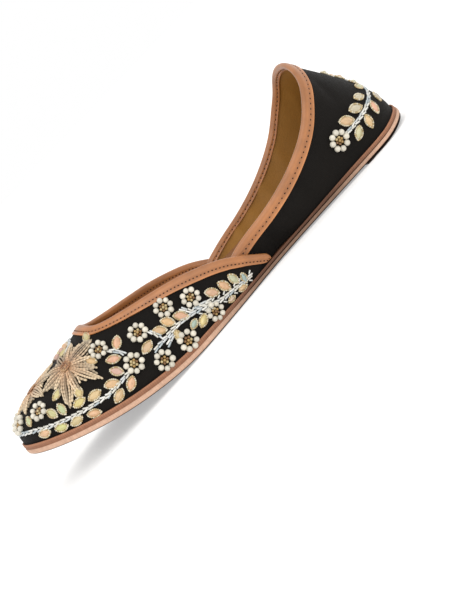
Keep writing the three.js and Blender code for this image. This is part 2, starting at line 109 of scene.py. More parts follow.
def add_node(tree, kind, inputs=None, output=0, bands=(), **settings):
    """Adds a shader node with its settings, values, links and ramp bands, and gives an output."""
    made = tree.nodes.new("ShaderNode" + kind)
    for name, value in settings.items():
        setattr(made, name, value)
    for name, value in (inputs or {}).items():
        if isinstance(value, bpy.types.NodeSocket):
            tree.links.new(value, made.inputs[name])
        else:
            made.inputs[name].default_value = value
    if bands:
        stops = made.color_ramp.elements
        for position, _ in bands[2:]:
            stops.new(position)
        for stop, (position, colour) in zip(stops, bands):
            stop.position = position
            stop.color = toned(colour)
    return made.outputs[output]


def start_material(name, **constants):
    """A new material with its shader's constants set, its node tree and its Object coordinates."""
    material = bpy.data.materials.new(name)
    material.use_nodes = True
    tree = material.node_tree
    shader = tree.nodes["Principled BSDF"]
    for socket, value in {"Coat_Roughness": 0.3, **constants}.items():
        shader.inputs[socket.replace("_", " ")].default_value = value
    return material, tree, add_node(tree, "TexCoord", output="Object")


def finish_material(material, colour, height=None, depth=0.0, roughness=None):
    """Links a colour, a bump of a depth in metres and a roughness to a material's shader."""
    tree = material.node_tree
    linked = {"Base Color": colour, "Roughness": roughness}
    if height is not None:
        linked["Normal"] = add_node(tree, "Bump", {"Height": height, "Distance": depth})
    for name, socket in linked.items():
        if socket is not None:
            tree.links.new(socket, tree.nodes["Principled BSDF"].inputs[name])
    return material


def mottle(tree, coords, size, colour, spread, detail=3.0):
    """Colour that wanders lighter and darker by a spread, in patches of a size in metres."""
    clouds = add_node(tree, "TexNoise", {"Vector": coords, "Scale": 1 / size, "Detail": detail})
    bands = ((0.3, toned(colour, 1 - spread)), (0.7, toned(colour, 1 + spread)))
    return add_node(tree, "ValToRGB", {"Fac": clouds}, bands=bands)


def cotton_satin(colour):
    """Black cotton satin: dull, with threads 0.3 mm apart, drawn at 0.6 mm so that they show."""
    material, tree, coords = start_material(
        "black_cotton_satin", Roughness=0.8, Specular_IOR_Level=0.16, Sheen_Weight=0.03
    )
    threads = add_node(tree, "UVMap", uv_map="threads")
    inputs = {"Vector": threads, "Scale": WAVE / 0.6, "Distortion": 0.6, "Detail": 1.0}
    warp, weft = (add_node(tree, "TexWave", inputs, "Fac", bands_direction=way) for way in "XY")
    weave = add_node(tree, "Math", {0: warp, 1: weft}, operation="MULTIPLY")
    lit = add_node(tree, "MapRange", {"Value": weave, "To Min": 0.75, "To Max": 1.25})
    base = mottle(tree, coords, 16 * MM, colour, 0.18)
    base = add_node(tree, "Mix", {0: 1.0, 6: base, 7: lit}, blend_type="MULTIPLY", **COLOUR_MIX)
    return finish_material(material, base, weave, 0.12 * MM)


def leather(name, colour, grain_size, roughness, patch, specular=0.4, coat=0.06, painted_light=()):
    """Finished leather: an even tone with darker clouds, a fine pebbled grain and uneven gloss.

    Painted light is rows of a reach down an edging's leg and a tone: painted highlights and painted
    shade along the leg.
    """
    material, tree, coords = start_material(
        name, Coat_Roughness=0.35, Specular_IOR_Level=specular, Coat_Weight=coat
    )
    base = mottle(tree, coords, patch, colour, 0.16, 5.0)
    # painted highlights and painted shade down an edging's leg, by its reach
    if painted_light:
        reach = add_node(tree, "Attribute", output="Fac", attribute_name="reach")
        halves = [(at, (tone / 2,) * 3) for at, tone in painted_light]
        half = add_node(tree, "ValToRGB", {"Fac": reach}, bands=halves)
        full = add_node(tree, "Mix", {0: 1.0, 6: half, 7: half}, blend_type="ADD", **COLOUR_MIX)
        inputs = {0: 1.0, 6: base, 7: full}
        base = add_node(tree, "Mix", inputs, blend_type="MULTIPLY", **COLOUR_MIX)
    pebbles = add_node(tree, "TexVoronoi", {"Vector": coords, "Scale": 1 / grain_size})
    wear = add_node(tree, "TexNoise", {"Vector": coords, "Scale": 1 / (5 * MM), "Detail": 4.0})
    inputs = {"Value": wear, "To Min": roughness - 0.08, "To Max": roughness + 0.1}
    gloss = add_node(tree, "MapRange", inputs)
    return finish_material(material, base, pebbles, 0.05 * MM, gloss)


def cut_edge(name, bands, rib, slant, rib_light):
    """Bark-tanned cow leather on its cut edge: dry and fibrous, and darker at the waist.

    Bands are rows of a share of the band's height and a colour. The wheel's ribs get a painted
    highlight on their tops and painted shade between them, by the given amount.
    The fibre's tones are halves, so the ribs' tones are doubles.
    """
    material, tree, coords = start_material(name, Roughness=0.6, Specular_IOR_Level=0.3)
    length = add_node(tree, "SeparateXYZ", {"Vector": add_node(tree, "UVMap", uv_map="edge")})
    height = length.node.outputs["Y"]
    along = add_node(tree, "Math", {0: height, 1: slant, 2: length}, operation="MULTIPLY_ADD")
    phase = add_node(tree, "Math", {0: along, 1: 2 * math.pi / rib}, operation="MULTIPLY")
    wave = add_node(tree, "Math", {0: phase}, operation="COSINE")
    # painted highlight on each rib's top and painted shade between the ribs
    tones = {"From Min": -1.0, "To Min": 2 * (1 - rib_light), "To Max": 2 * (1 + rib_light)}
    painted_rib_light = add_node(tree, "MapRange", {"Value": wave, **tones})
    start, full, fade, end = (place(station, 0, 0).x for station in WAIST_DARKENING)
    reach = add_node(tree, "SeparateXYZ", {"Vector": coords})
    behind = add_node(tree, "MapRange", {"Value": reach, "From Min": start, "From Max": full})
    before = add_node(tree, "MapRange", {"Value": reach, "From Min": end, "From Max": fade})
    # the edge is made darker at the waist, between the stations given
    waist = add_node(tree, "Math", {0: behind, 1: before}, operation="MULTIPLY")
    fibre = mottle(tree, coords, 1.6 * MM, (0.5, 0.5, 0.5), 0.12, 4.0)
    base = add_node(tree, "ValToRGB", {"Fac": height}, bands=bands)
    for share, layer in ((1.0, fibre), (1.0, painted_rib_light), (waist, WAIST_DARK_TINT)):
        inputs = {0: share, 6: base, 7: layer}
        base = add_node(tree, "Mix", inputs, blend_type="MULTIPLY", **COLOUR_MIX)
    inputs = {"Vector": coords, "Scale": 1 / (0.5 * MM), "Detail": 3.0}
    return finish_material(material, base, add_node(tree, "TexNoise", inputs), 0.05 * MM)


def soling_rubber(colour):
    """Moulded rubber sheet: near black, matt, with a faint pitted skin."""
    material, tree, coords = start_material("soling_rubber", Roughness=0.7)
    pits = add_node(tree, "TexNoise", {"Vector": coords, "Scale": 1 / (0.7 * MM)})
    base = mottle(tree, coords, 5 * MM, colour, 0.2)
    return finish_material(material, base, pits, 0.08 * MM)


def cotton_thread(name, colour):
    """Twisted cotton thread: dull, with its twist drawn 0.5 mm apart."""
    material, tree, coords = start_material(name, Roughness=0.75, Specular_IOR_Level=0.25)
    inputs = {"Vector": coords, "Scale": WAVE / (0.5 * MM)}
    twist = add_node(tree, "TexWave", inputs, "Fac", bands_direction="DIAGONAL")
    base = mottle(tree, coords, 1.5 * MM, colour, 0.1)
    return finish_material(material, base, twist, 0.08 * MM)


def bead_finish(name, colours):
    """A finish over the mesh's own tint, toned at its rim by painted light (lighter on stones,
    darker between a wire's turns), made when it is first asked for.
    """
    if name in bpy.data.materials:
        return bpy.data.materials[name]
    colour, rim_light_tone, constants = {
        # Acrylic beads in pearl lacquer: ivory, soft below and glossy on top
        "pearl_lacquer": (
            colours.pearl, 1.0, {"Roughness": 0.3, "Coat_Weight": 0.6, "Sheen_Weight": 0.1}
        ),
        # Cast resin with a foiled back: pale, glossy, with a painted highlight towards its edge
        "cast_resin": ((0.63, 0.62, 0.59), 1.2, {"Roughness": 0.3, "Coat_Weight": 0.5}),
        # Gilt bullion wound as a spring: pale gold, with painted shade between its turns
        "gilt_bullion": (colours.gold, 0.62, {"Roughness": 0.35, "Metallic": 0.05}),
        # Cut glass bugles with a silvered bore: cold and bright on their flats
        "silvered_glass": (
            (0.9, 0.9, 0.9), 0.6, {"Roughness": 0.25, "Metallic": 0.3, "Coat_Weight": 0.4}
        ),
    }[name]
    material, tree, coords = start_material(name, Coat_Roughness=0.12, **constants)
    tint = add_node(tree, "Attribute", attribute_name="tint")
    # painted light at the rim: a highlight on stone edges, shade between a wire's turns
    rim = add_node(tree, "Attribute", output="Fac", attribute_name="rim")
    painted_rim_light = add_node(tree, "MapRange", {"Value": rim, "To Min": 1.0, "To Max": rim_light_tone})
    base = tint
    for layer in (mottle(tree, coords, 1.4 * MM, colour, 0.1), painted_rim_light):
        inputs = {0: 1.0, 6: base, 7: layer}
        base = add_node(tree, "Mix", inputs, blend_type="MULTIPLY", **COLOUR_MIX)
    return finish_material(material, base)


def white_acrylic():
    """White acrylic sheet lit a little from below: matt, and shadows on it stay pale."""
    material, tree, coords = start_material(
        "white_acrylic", Roughness=0.95, Specular_IOR_Level=0.1,
        Emission_Color=(1, 1, 1, 1), Emission_Strength=0.38,
    )
    return finish_material(material, mottle(tree, coords, 0.3, srgb(TABLE_COLOUR), 0.01))


# Meshes


def deselect():
    """Leaves nothing selected, in object mode."""
    if bpy.context.mode != "OBJECT":
        bpy.ops.object.mode_set(mode="OBJECT")
    bpy.ops.object.select_all(action="DESELECT")


def make_active(piece):
    """Selects one piece alone."""
    deselect()
    piece.select_set(True)
    bpy.context.view_layer.objects.active = piece


def apply_modifier(piece, kind, **settings):
    """Adds a modifier with its settings and applies it."""
    make_active(piece)
    modifier = piece.modifiers.new(kind.lower(), kind)
    for name, value in settings.items():
        setattr(modifier, name, value)
    bpy.ops.object.modifier_apply(modifier=modifier.name)


def smooth(piece, angle=40):
    """Smooth shading, broken at edges sharper than an angle in degrees."""
    make_active(piece)
    bpy.ops.object.shade_smooth_by_angle(angle=math.radians(angle))


def mesh_piece(name, points, faces):
    """A new object from points in metres and faces."""
    data = bpy.data.meshes.new(name)
    data.from_pydata([tuple(p) for p in points], [], [tuple(f) for f in faces])
    data.update()
    piece = bpy.data.objects.new(name, data)
    bpy.context.collection.objects.link(piece)
    return piece


def copy_node(node, name, levels, sharpness=55, crease=0.95):
    """A CAD node's copy, merged, turned to quads and subdivided with its sharp edges held."""
    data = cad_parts[node].data.copy()
    data.materials.clear()
    piece = bpy.data.objects.new(name, data)
    bpy.context.collection.objects.link(piece)
    make_active(piece)
    bpy.ops.mesh.customdata_custom_splitnormals_clear()
    bpy.ops.object.mode_set(mode="EDIT")
    bpy.ops.mesh.select_all(action="SELECT")
    bpy.ops.mesh.remove_doubles(threshold=1e-6)
    bpy.ops.mesh.tris_convert_to_quads(
        face_threshold=math.radians(50), shape_threshold=math.radians(80)
    )
    bpy.ops.mesh.select_all(action="DESELECT")
    bpy.ops.mesh.select_mode(type="EDGE")
    bpy.ops.mesh.edges_select_sharp(sharpness=math.radians(sharpness))
    bpy.ops.transform.edge_crease(value=crease)
    bpy.ops.object.mode_set(mode="OBJECT")
    apply_modifier(piece, "SUBSURF", levels=levels, render_levels=levels)
    smooth(piece)
    return piece


def finish_piece(piece, materials, stands_for=()):
    """Gives a piece its materials, its body and the nodes it stands for."""
    for material in materials:
        piece.data.materials.append(material)
    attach(piece, "root")
    if stands_for:
        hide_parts(*stands_for)


def points_of(piece):
    """A piece's vertices as an array."""
    flat = np.empty(len(piece.data.vertices) * 3)
    piece.data.vertices.foreach_get("co", flat)
    return flat.reshape(-1, 3)


def set_points(piece, points):
    """Writes an array back to a piece's vertices."""
    piece.data.vertices.foreach_set("co", points.ravel())
    piece.data.update()


def set_map(piece, name, map_points):
    """Gives a piece a UV map from a pair of numbers for each corner."""
    layer = piece.data.uv_layers.new(name=name)
    layer.data.foreach_set("uv", np.asarray(map_points, np.float32).ravel())


def corners_of(piece):
    """Each face corner's vertex, and its face."""
    vertices = np.empty(len(piece.data.loops), int)
    piece.data.loops.foreach_get("vertex_index", vertices)
    sizes = [len(face.vertices) for face in piece.data.polygons]
    return vertices, np.repeat(np.arange(len(sizes)), sizes)


def unit(rows):
    """Rows of vectors made one long."""
    return rows / np.maximum(np.linalg.norm(rows, axis=1), 1e-12)[:, None]


def distances(points):
    """Length along a chain of points up to each of them."""
    steps = np.linalg.norm(np.diff(points, axis=0), axis=1)
    return np.concatenate([[0], np.cumsum(steps)])


def curve_through(rows, steps):
    """A Catmull-Rom curve through rows of numbers, with so many steps from row to row."""
    rows = np.array(rows, float)
    padded = np.vstack([2 * rows[0] - rows[1], rows, 2 * rows[-1] - rows[-2]])
    made = []
    for i in range(len(rows) - 1):
        a, b, c, d = padded[i : i + 4]
        for t in np.arange(steps) / steps:
            bend = 2 * a - 5 * b + 4 * c - d + t * (3 * (b - c) + d - a)
            made.append(b + 0.5 * t * (c - a + t * bend))
    made.append(rows[-1])
    return np.array(made)


def evenly(chain, pitch, start=0.0):
    """Points and directions at an even pitch along a chain of points."""
    reach = distances(chain)
    stops = np.arange(start, reach[-1], pitch)
    ahead = unit(np.gradient(chain, axis=0))
    both = np.hstack([chain, ahead])
    rows = np.stack([np.interp(stops, reach, column) for column in both.T], 1)
    return [(Vector(row[:3]), Vector(row[3:]).normalized()) for row in rows]


class Skin:
    """The outside of a finished piece, for seating things on, and the core line inside it."""

    def __init__(self, piece, core_from=0, core_to=250, core_height=1000):
        data = piece.data
        self.tree = BVHTree.FromPolygons(
            [v.co.copy() for v in data.vertices], [tuple(p.vertices) for p in data.polygons]
        )
        self.core_from = place(core_from, 0, 0).x
        self.core_to = place(core_to, 0, 0).x
        self.core_height = core_height * MM

    def outward(self, point):
        """Direction from the core line to a point."""
        x = min(max(point.x, self.core_from), self.core_to)
        return (point - Vector((x, 0, min(point.z, self.core_height)))).normalized()

    def drop(self, point, direction, room=12):
        """Where a thing laid on against a direction meets the skin, and the normal there."""
        found, normal, _, _ = self.tree.ray_cast(point + direction * room * MM, -direction)
        if found is None:
            found, normal, _, _ = self.tree.find_nearest(point)
        return found, normal if normal.dot(direction) > 0 else -normal

    def seat(self, station, out, up):
        """A table's point moved onto the skin, and the normal there."""
        point = place(station, out, up)
        return self.drop(point, self.outward(point))


def standing(point, normal, heading, lift=0.0):
    """Frame at a point: Z along the normal, X along the heading in the skin, raised by a lift."""
    x = (heading - normal * heading.dot(normal)).normalized()
    turn = Matrix((x, normal.cross(x), normal)).transposed().to_4x4()
    return Matrix.Translation(point + normal * lift) @ turn


def facing(normal, turn):
    """Heading in the skin, a turn in degrees up from the direction of the toe."""
    level = UP.cross(normal)
    level = level.normalized() if level.length > 0.15 else Vector((1, 0, 0))
    if level.x < 0:
        level.negate()
    climb = normal.cross(level)
    if climb.z < 0:
        climb.negate()
    angle = math.radians(turn)
    return level * math.cos(angle) + climb * math.sin(angle)


def take_shape():
    """Points and faces of the active object, which is then removed."""
    made = bpy.context.object
    points = points_of(made)
    faces = [tuple(p.vertices) for p in made.data.polygons]
    bpy.data.objects.remove(made)
    return points, faces


def ball(radius, segments=10, rings=7):
    """A bead of a radius in metres."""
    deselect()
    bpy.ops.mesh.primitive_uv_sphere_add(segments=segments, ring_count=rings, radius=radius)
    return take_shape()


def rod(length, radius, sides=8):
    """A short cut tube along X with its ends eased."""
    deselect()
    bpy.ops.mesh.primitive_cylinder_add(
        vertices=sides, radius=radius, depth=length, rotation=(0, math.pi / 2, 0)
    )
    bpy.ops.object.transform_apply(location=False, rotation=True, scale=False)
    apply_modifier(bpy.context.object, "BEVEL", width=0.3 * radius, segments=1)
    return take_shape()


def grain(length, radius):
    """A stitch or a seed along X: plump in the middle and narrow at its ends."""
    points, faces = ball(1.0, 8, 7)
    return points[:, [2, 0, 1]] * (length / 2, radius, radius), faces


def marquise(length, width, height):
    """A leaf-shaped stone along X: pointed ends, a ridged dome and a flat back."""
    points, faces = ball(1.0, 12, 9)
    points = points[:, [2, 0, 1]]
    taper = np.sqrt(np.clip(1 - points[:, 0] ** 2, 0, 1))
    points[:, 1] *= taper
    ridge = (1 - 0.5 * np.abs(points[:, 1])) * (0.55 + 0.45 * taper)
    points[:, 2] *= np.where(points[:, 2] > 0, ridge, 0.2)
    # the share out to the stone's edge, where the finish paints a highlight
    rim = np.clip(np.abs(points[:, 1]) / np.maximum(taper**2, 0.05), 0, 1) ** 2
    return points * (length / 2, width / 2, height), faces, rim


def tube(path, radius, sides=5, ridge=0.0, pitch=1.0 * MM):
    """A closed tube round a chain of points, ridged like a wound spring."""
    path = np.array(path)
    ahead = unit(np.gradient(path, axis=0))
    side = unit(np.cross(ahead, (0.13, 0.21, 0.97)))
    top = np.cross(side, ahead)
    wave = np.cos(2 * math.pi * distances(path) / pitch)
    thick = radius * (1 + ridge * wave)
    thick[[0, -1]] *= 0.4
    angles = np.arange(sides) * 2 * math.pi / sides
    ring = np.cos(angles)[:, None] * side[:, None] + np.sin(angles)[:, None] * top[:, None]
    points = (path[:, None] + thick[:, None, None] * ring).reshape(-1, 3)
    last = (len(path) - 1) * sides
    faces = [
        (i + k, i + (k + 1) % sides, i + sides + (k + 1) % sides, i + sides + k)
        for i in range(0, last, sides)
        for k in range(sides)
    ]
    faces.append(tuple(range(sides))[::-1])
    faces.append(tuple(last + k for k in range(sides)))
    # each point's share into the groove between turns, where the finish paints shade
    return points, faces, np.repeat((1 - wave) / 2, sides)


class Heap:
    """Gathers many small shapes, and joins them as one mesh with a tint and a rim share to a point,
    by which the finishes paint light and shade.
    """

    def __init__(self):
        self.points = []
        self.faces = []
        self.tints = []
        self.rims = []
        self.count = 0

    def add(self, shape, matrix=None, tint=(1, 1, 1)):
        """Adds a shape; a tint is one linear colour, or rows of one for each point."""
        points, faces, *rim = shape
        if matrix is not None:
            turn = np.array(matrix)
            points = points @ turn[:3, :3].T + turn[:3, 3]
        self.faces.extend(tuple(self.count + i for i in face) for face in faces)
        self.points.append(points)
        self.tints.append(np.broadcast_to(tint, (len(points), 3)))
        self.rims.append(rim[0] if rim else np.zeros(len(points)))
        self.count += len(points)

    def piece(self, name):
        """The joined mesh as an object."""
        made = mesh_piece(name, np.vstack(self.points), self.faces)
        tints = np.hstack([np.vstack(self.tints), np.ones((self.count, 1))])
        layer = made.data.attributes.new("tint", "FLOAT_COLOR", "POINT")
        layer.data.foreach_set("color", tints.astype(np.float32).ravel())
        layer = made.data.attributes.new("rim", "FLOAT", "POINT")
        layer.data.foreach_set("value", np.concatenate(self.rims).astype(np.float32))
        smooth(made, 50)
        return made


def both_sides(rows):
    """Each row of a table, and mirrored if it lies off the middle."""
    for station, out, *rest in rows:
        yield station, out, *rest
        if out != 0:
            yield station, -out, *rest


# The upper

# Soft troughs pressed into the cloth: where, which way they run, and their size
CREASES = [
    # station, out, up, turn, length, width, depth
    (118, 27, 16, 70, 16, 4.0, 0.5),
    (96, 28, 12, 96, 22, 6.0, 0.8),
    (84, 30, 15, 80, 20, 5.0, 0.5),
    (70, 33, 20, 80, 20, 7.0, 0.8),
    (52, 33, 24, 100, 18, 6.0, 0.6),
    (24, 27, 40, 110, 18, 5.0, 0.6),
    (150, 33, 20, 110, 14, 5.0, 0.4),
    (183, 30, 30, 150, 18, 6.0, 0.5),
    (212, 27, 31, 25, 18, 6.0, 0.4),
]
CREASE_REACH = 8  # a crease farther than this from a wall lies on the other one
CORES = {
    # from where to where a core line runs, and how high at most
    "vamp": (60, 205, 20),
    "quarter": (38, 150, 1000),
}
HEEL_BEND = 38  # station of the heel's centre, round which its threads turn
HEEL_RADIUS = 28
VAMP_RADIUS = 32


def lay_threads(piece, on_heel):
    """UV map in millimetres: along the vamp and over it, or round the heel and up it."""
    points = points_of(piece) / MM
    if on_heel:
        from_heel = points[:, 0] - HEEL_BACK / MM - HEEL_BEND
        angle = np.arctan2(points[:, 1], np.maximum(-from_heel, 1e-6))
        side = np.maximum(from_heel, 0) * np.sign(points[:, 1])
        spread = np.stack([HEEL_RADIUS * angle + side, points[:, 2]], 1)
    else:
        girth = VAMP_RADIUS * np.arctan2(points[:, 1], np.maximum(points[:, 2] - 8, -6))
        spread = np.stack([points[:, 0], girth], 1)
    set_map(piece, "threads", spread[corners_of(piece)[0]])


def line_inside(piece, skin):
    """Gives the faces that look in towards the core line the second material."""
    for face in piece.data.polygons:
        face.material_index = int(face.normal.dot(skin.outward(face.center)) < 0.15)


def press_creases(piece, skin):
    """Moves both sides of a wall together into each trough that lies on it."""
    points = points_of(piece)
    for station, out, up, turn, length, width, depth in both_sides(CREASES):
        centre, normal = skin.seat(station, out, up)
        if (centre - place(station, out, up)).length > CREASE_REACH * MM:
            continue
        heading = facing(normal, turn)
        gap = points - np.array(centre)
        along = gap @ np.array(heading) / (0.5 * length * MM)
        aside = gap @ np.array(normal.cross(heading)) / (0.5 * width * MM)
        fade = np.exp(-(along**2) - aside**2)
        fade *= np.linalg.norm(gap, axis=1) < 1.4 * length * MM
        points -= np.outer(fade * depth * MM, normal)
    set_points(piece, points)


def build_upper(colours):
    """The vamp's and the quarter's skins, by node."""
    cloth = cotton_satin(colours.cloth)
    lining = leather("vegetable_lining_leather", colours.lining, 0.8 * MM, 0.55, 26 * MM, 0.2, 0)
    skins = {}
    for node, core in CORES.items():
        piece = copy_node(node, node + "_cloth", 2)
        skin = Skin(piece, *core)
        line_inside(piece, skin)
        press_creases(piece, skin)
        lay_threads(piece, node == "quarter")
        finish_piece(piece, (cloth, lining), (node,))
        skins[node] = Skin(piece, *core)
    return skins


# The edgings

VAMP_TOPLINE = [
    # station, out, up
    (189.2, 0, 47.7),
    (188.4, 9.5, 46.8),
    (185.4, 17.2, 44.1),
    (176.5, 22, 41),
    (162, 26, 37),
    (148, 29.1, 33.1),
    (136, 31, 28.6),
    (126, 31.9, 24),
    (117.5, 31.6, 18.4),
    (110, 29.8, 12.2),
    (103.5, 27, 6.4),
]
QUARTER_TOPLINE = [
    (25, 0, 62.3),
    (25.4, 9.5, 61.4),
    (26.8, 18.5, 58),
    (30.4, 26, 51.8),
    (37, 31, 45.4),
    (47, 33.6, 37.3),
    (60, 34.2, 30.6),
    (75, 33, 25.4),
    (90, 31, 22.2),
    (101, 28.7, 20.9),
    (111, 26.6, 19.4),
    (121, 26.8, 16.8),
    (130, 27.6, 13.2),
    (138, 28.4, 9.3),
]
EDGINGS = [
    # node, topline, outer leg, inner leg, from hole to hole
    ("vamp", VAMP_TOPLINE, 4.7, 3.8, 1.95),
    ("quarter", QUARTER_TOPLINE, 5.2, 2.9, 2.7),
]
MODEL_LEG = 4.9  # the CAD edgings' legs
EDGING_THICKNESS = 1.2
STITCH_LINE = 0.54  # share of a leg where its stitches run
STITCH_GROOVE = 0.2
SNUG = 0.25  # how far an edging is drawn in to the wall
INNER_FACE = 0.55  # what is nearer than this to the wall is laid on it
INNER_GAP = 0.03
HOLE_SIZE = (0.95, 0.38)  # length and radius
STITCH_RADIUS = 0.26
# painted shade inside the stitch holes, laid as sunk dark grains
HOLE_SHADE_COLOUR = "#2c140a"
STITCH_COLOUR = "#a96f45"
EDGING_PAINTED_LIGHT = [
    # share of a leg, tone: painted highlights on the leather puffed beside the stitches, painted
    # shade in the stitch groove, and a pale skived lower edge that is partly its own paler colour
    # and partly a painted highlight
    (0.0, 0.95),
    (0.2, 1.1),
    (0.46, 0.92),
    (0.54, 0.8),
    (0.62, 0.95),
    (0.8, 1.12),
    (0.9, 1.5),
    (0.99, 1.1),
]


class Topline:
    """A wall's top edge, with its directions along, out of the wall and down it."""

    def __init__(self, half, wall):
        rows = [(station, -out, up) for station, out, up in half[:0:-1]] + half
        self.points = np.array([place(*row) for row in curve_through(rows, 12)])
        self.ahead = unit(np.gradient(self.points, axis=0))
        out = []
        for point in self.points:
            below = Vector(point) - UP * 2 * MM
            normal = wall.tree.find_nearest(below)[1]
            out.append(normal if normal.dot(wall.outward(below)) > 0 else -normal)
        out = np.array(out)
        self.out = unit(out - self.ahead * (out * self.ahead).sum(1)[:, None])
        self.down = np.cross(self.ahead, self.out)
        self.down *= -np.sign(self.down[:, 2:])
        self.tree = KDTree(len(self.points))
        for i, point in enumerate(self.points):
            self.tree.insert(point, i)
        self.tree.balance()


def shape_edging(piece, topline, wall, outer_leg, inner_leg):
    """Trims the legs, draws in their stitch line and presses them to the wall."""
    points = points_of(piece)
    reach = np.zeros(len(points))
    for i, point in enumerate(points):
        _, at, _ = topline.tree.find(point)
        gap = point - topline.points[at]
        down = gap @ topline.down[at]
        outside = np.clip(0.5 + gap @ topline.out[at] / (EDGING_THICKNESS * MM), 0, 1)
        leg = (inner_leg + (outer_leg - inner_leg) * outside) * MM
        if down > 0:
            points[i] += topline.down[at] * down * (leg / (MODEL_LEG * MM) - 1)
            reach[i] = down / (MODEL_LEG * MM)
        found, _, _, distance = wall.tree.find_nearest(Vector(points[i]))
        away = Vector(points[i]) - found
        if distance < INNER_FACE * MM:
            points[i] = found + away.normalized() * INNER_GAP * MM
        else:
            notch = math.exp(-(((reach[i] - STITCH_LINE) / 0.1) ** 2))
            points[i] -= np.array(away.normalized()) * (SNUG + notch * STITCH_GROOVE) * MM
    set_points(piece, points)
    # the share down the leg, by which the leather's painted highlights and painted shade are laid
    layer = piece.data.attributes.new("reach", "FLOAT", "POINT")
    layer.data.foreach_set("value", np.clip(reach, 0, 1).astype(np.float32))


def sew_edging(holes, threads, topline, skin, outer_leg, inner_leg, pitch):
    """Holes, as sunk dark grains of painted shade, and the thread that dips between them, along
    both faces of an edging.
    """
    hole = grain(HOLE_SIZE[0] * MM, HOLE_SIZE[1] * MM)
    thread = grain(0.55 * pitch, STITCH_RADIUS * MM)
    for side, leg in ((1, outer_leg), (-1, inner_leg)):
        line = topline.points + topline.down * leg * STITCH_LINE * MM
        for count, (point, ahead) in enumerate(evenly(line, pitch / 2)):
            _, at, _ = topline.tree.find(point)
            out = Vector(topline.out[at]) * side
            found, normal, _, _ = skin.tree.ray_cast(point + out * 5 * MM, -out, 8 * MM)
            if found is None:
                continue
            if count % 2:
                threads.add(thread, standing(found, normal, ahead, -0.1 * MM))
            else:
                holes.add(hole, standing(found, normal, ahead, -0.14 * MM))


def build_edgings(upper, colours, sizes):
    """Both edgings of thin glazed goat leather, with their holes and stitches."""
    goat = leather(
        "glazed_goat_leather", colours.edging, 0.7 * MM, 0.4, 9 * MM, 0.5, 0.2, EDGING_PAINTED_LIGHT
    )
    holes, threads = Heap(), Heap()
    for node, half, outer_leg, inner_leg, pitch in EDGINGS:
        piece = copy_node(node + "_binding", node + "_edging", 2, 70, 0.6)
        topline = Topline(half, upper[node])
        shape_edging(piece, topline, upper[node], outer_leg, inner_leg)
        finish_piece(piece, (goat,), (node + "_binding",))
        pitch *= sizes.stitch_share * MM
        sew_edging(holes, threads, topline, Skin(piece), outer_leg, inner_leg, pitch)
    # dark grains at the stitch holes: painted shade
    dark = cotton_thread("waxed_brown_thread", srgb(HOLE_SHADE_COLOUR))
    tan = cotton_thread("waxed_tan_thread", srgb(STITCH_COLOUR))
    finish_piece(holes.piece("edging_stitch_holes"), (dark,))
    finish_piece(threads.piece("edging_stitches"), (tan,))


# The sole

SOLE_LAYERS = [
    # node, record slot
    ("outsole", "outsole_leather"),
    ("rand", "rand_leather"),
    ("bottom_sheet", "black_rubber"),
    ("heel_tap", "black_rubber"),
]
RIBS = {
    # how far a rib leans, its depth, and how much lighter its top is painted, as a highlight, and
    # how much darker between ribs, as shade
    "outsole": (0.3, 0.02, 0.05),
    "rand": (0.5, 0.07, 0.14),
}
EDGE_TONES = {
    # share of the band's height and tone: the bands are painted darker at their bottoms, as shade
    # where they meet the layer below, and the rand's rounded top lighter, as a painted highlight
    "outsole": [(0.0, 0.7), (0.1, 0.95), (0.35, 1.08), (0.85, 1.0)],
    "rand": [(0.0, 0.95), (0.6, 1.0), (0.76, 1.25), (0.95, 1.35)],
}
BAND = [
    # out, share of the band's height, share of a rib's depth: round a pressed edge
    (-0.8, 0.0, 0),
    (0.0, 0.0, 0),
    (0.12, 0.05, 0.3),
    (0.18, 0.18, 1),
    (0.2, 0.44, 1),
    (0.18, 0.66, 1),
    (0.1, 0.76, 0),
    (0.1, 0.9, 0),
    (-0.05, 0.98, 0),
    (-0.35, 1.0, 0),
    (-0.7, 0.93, 0),
    (-0.8, 0.75, 0),
]
LIPS = {
    # station and height of the band over a layer's top
    "rand": [(0, 1.0), (45, 0.8), (80, 0.3), (120, 0.5), (150, 1.3), (250, 1.6)],
    "outsole": [(0, 0.5), (80, 0.3), (120, 0.4), (150, 0.9), (250, 0.9)],
}
BAND_START = {"rand": 0.4, "outsole": 0.0}  # over a layer's bottom


def hull_line(points, step):
    """A layer's left edge from heel to toe in even steps, straight over its dip at the waist."""
    hull = []
    for x, y in sorted((x, y) for x, y, _ in points if y > -1e-6):
        while len(hull) > 1:
            (ax, ay), (bx, by) = hull[-2:]
            if (bx - ax) * (y - ay) < (by - ay) * (x - ax):
                break
            hull.pop()
        hull.append((x, y))
    hull = np.array(hull)
    reach = distances(hull)
    stops = np.arange(step / 2, reach[-1], step)
    return np.stack([np.interp(stops, reach, column) for column in hull.T], 1)


def rim_line(piece, step):
    """Rows all round a layer's rim: its place, its bottom and its top."""
    tree = Skin(piece).tree
    line = hull_line(points_of(piece), step)
    rows = []
    for (x, y), (ahead, aside) in zip(line, unit(np.gradient(line, axis=0))):
        inside = Vector((x - math.copysign(0.5 * MM, x), y * 0.6, 0))
        below = tree.ray_cast(inside - UP, UP)[0]
        above = tree.ray_cast(inside + UP, -UP)[0]
        if below is None or above is None:
            continue
        out = Vector((-aside, ahead, 0))
        start = Vector((x, y, (below.z + above.z) / 2)) + out * 8 * MM
        found = tree.ray_cast(start, -out)[0]
        if found is not None and (found - start).length < 14 * MM:
            rows.append((found.x, found.y, below.z, above.z))
    rows = np.array(rows)
    ring = np.vstack([rows, rows[::-1] * (1, -1, 1, 1)])
    width = max(int(2.5 * MM / step), 1)
    around = np.vstack([ring[-width:], ring, ring[:width]])
    window = np.ones(2 * width + 1) / (2 * width + 1)
    return np.stack([np.convolve(column, window, "valid") for column in around.T], 1)


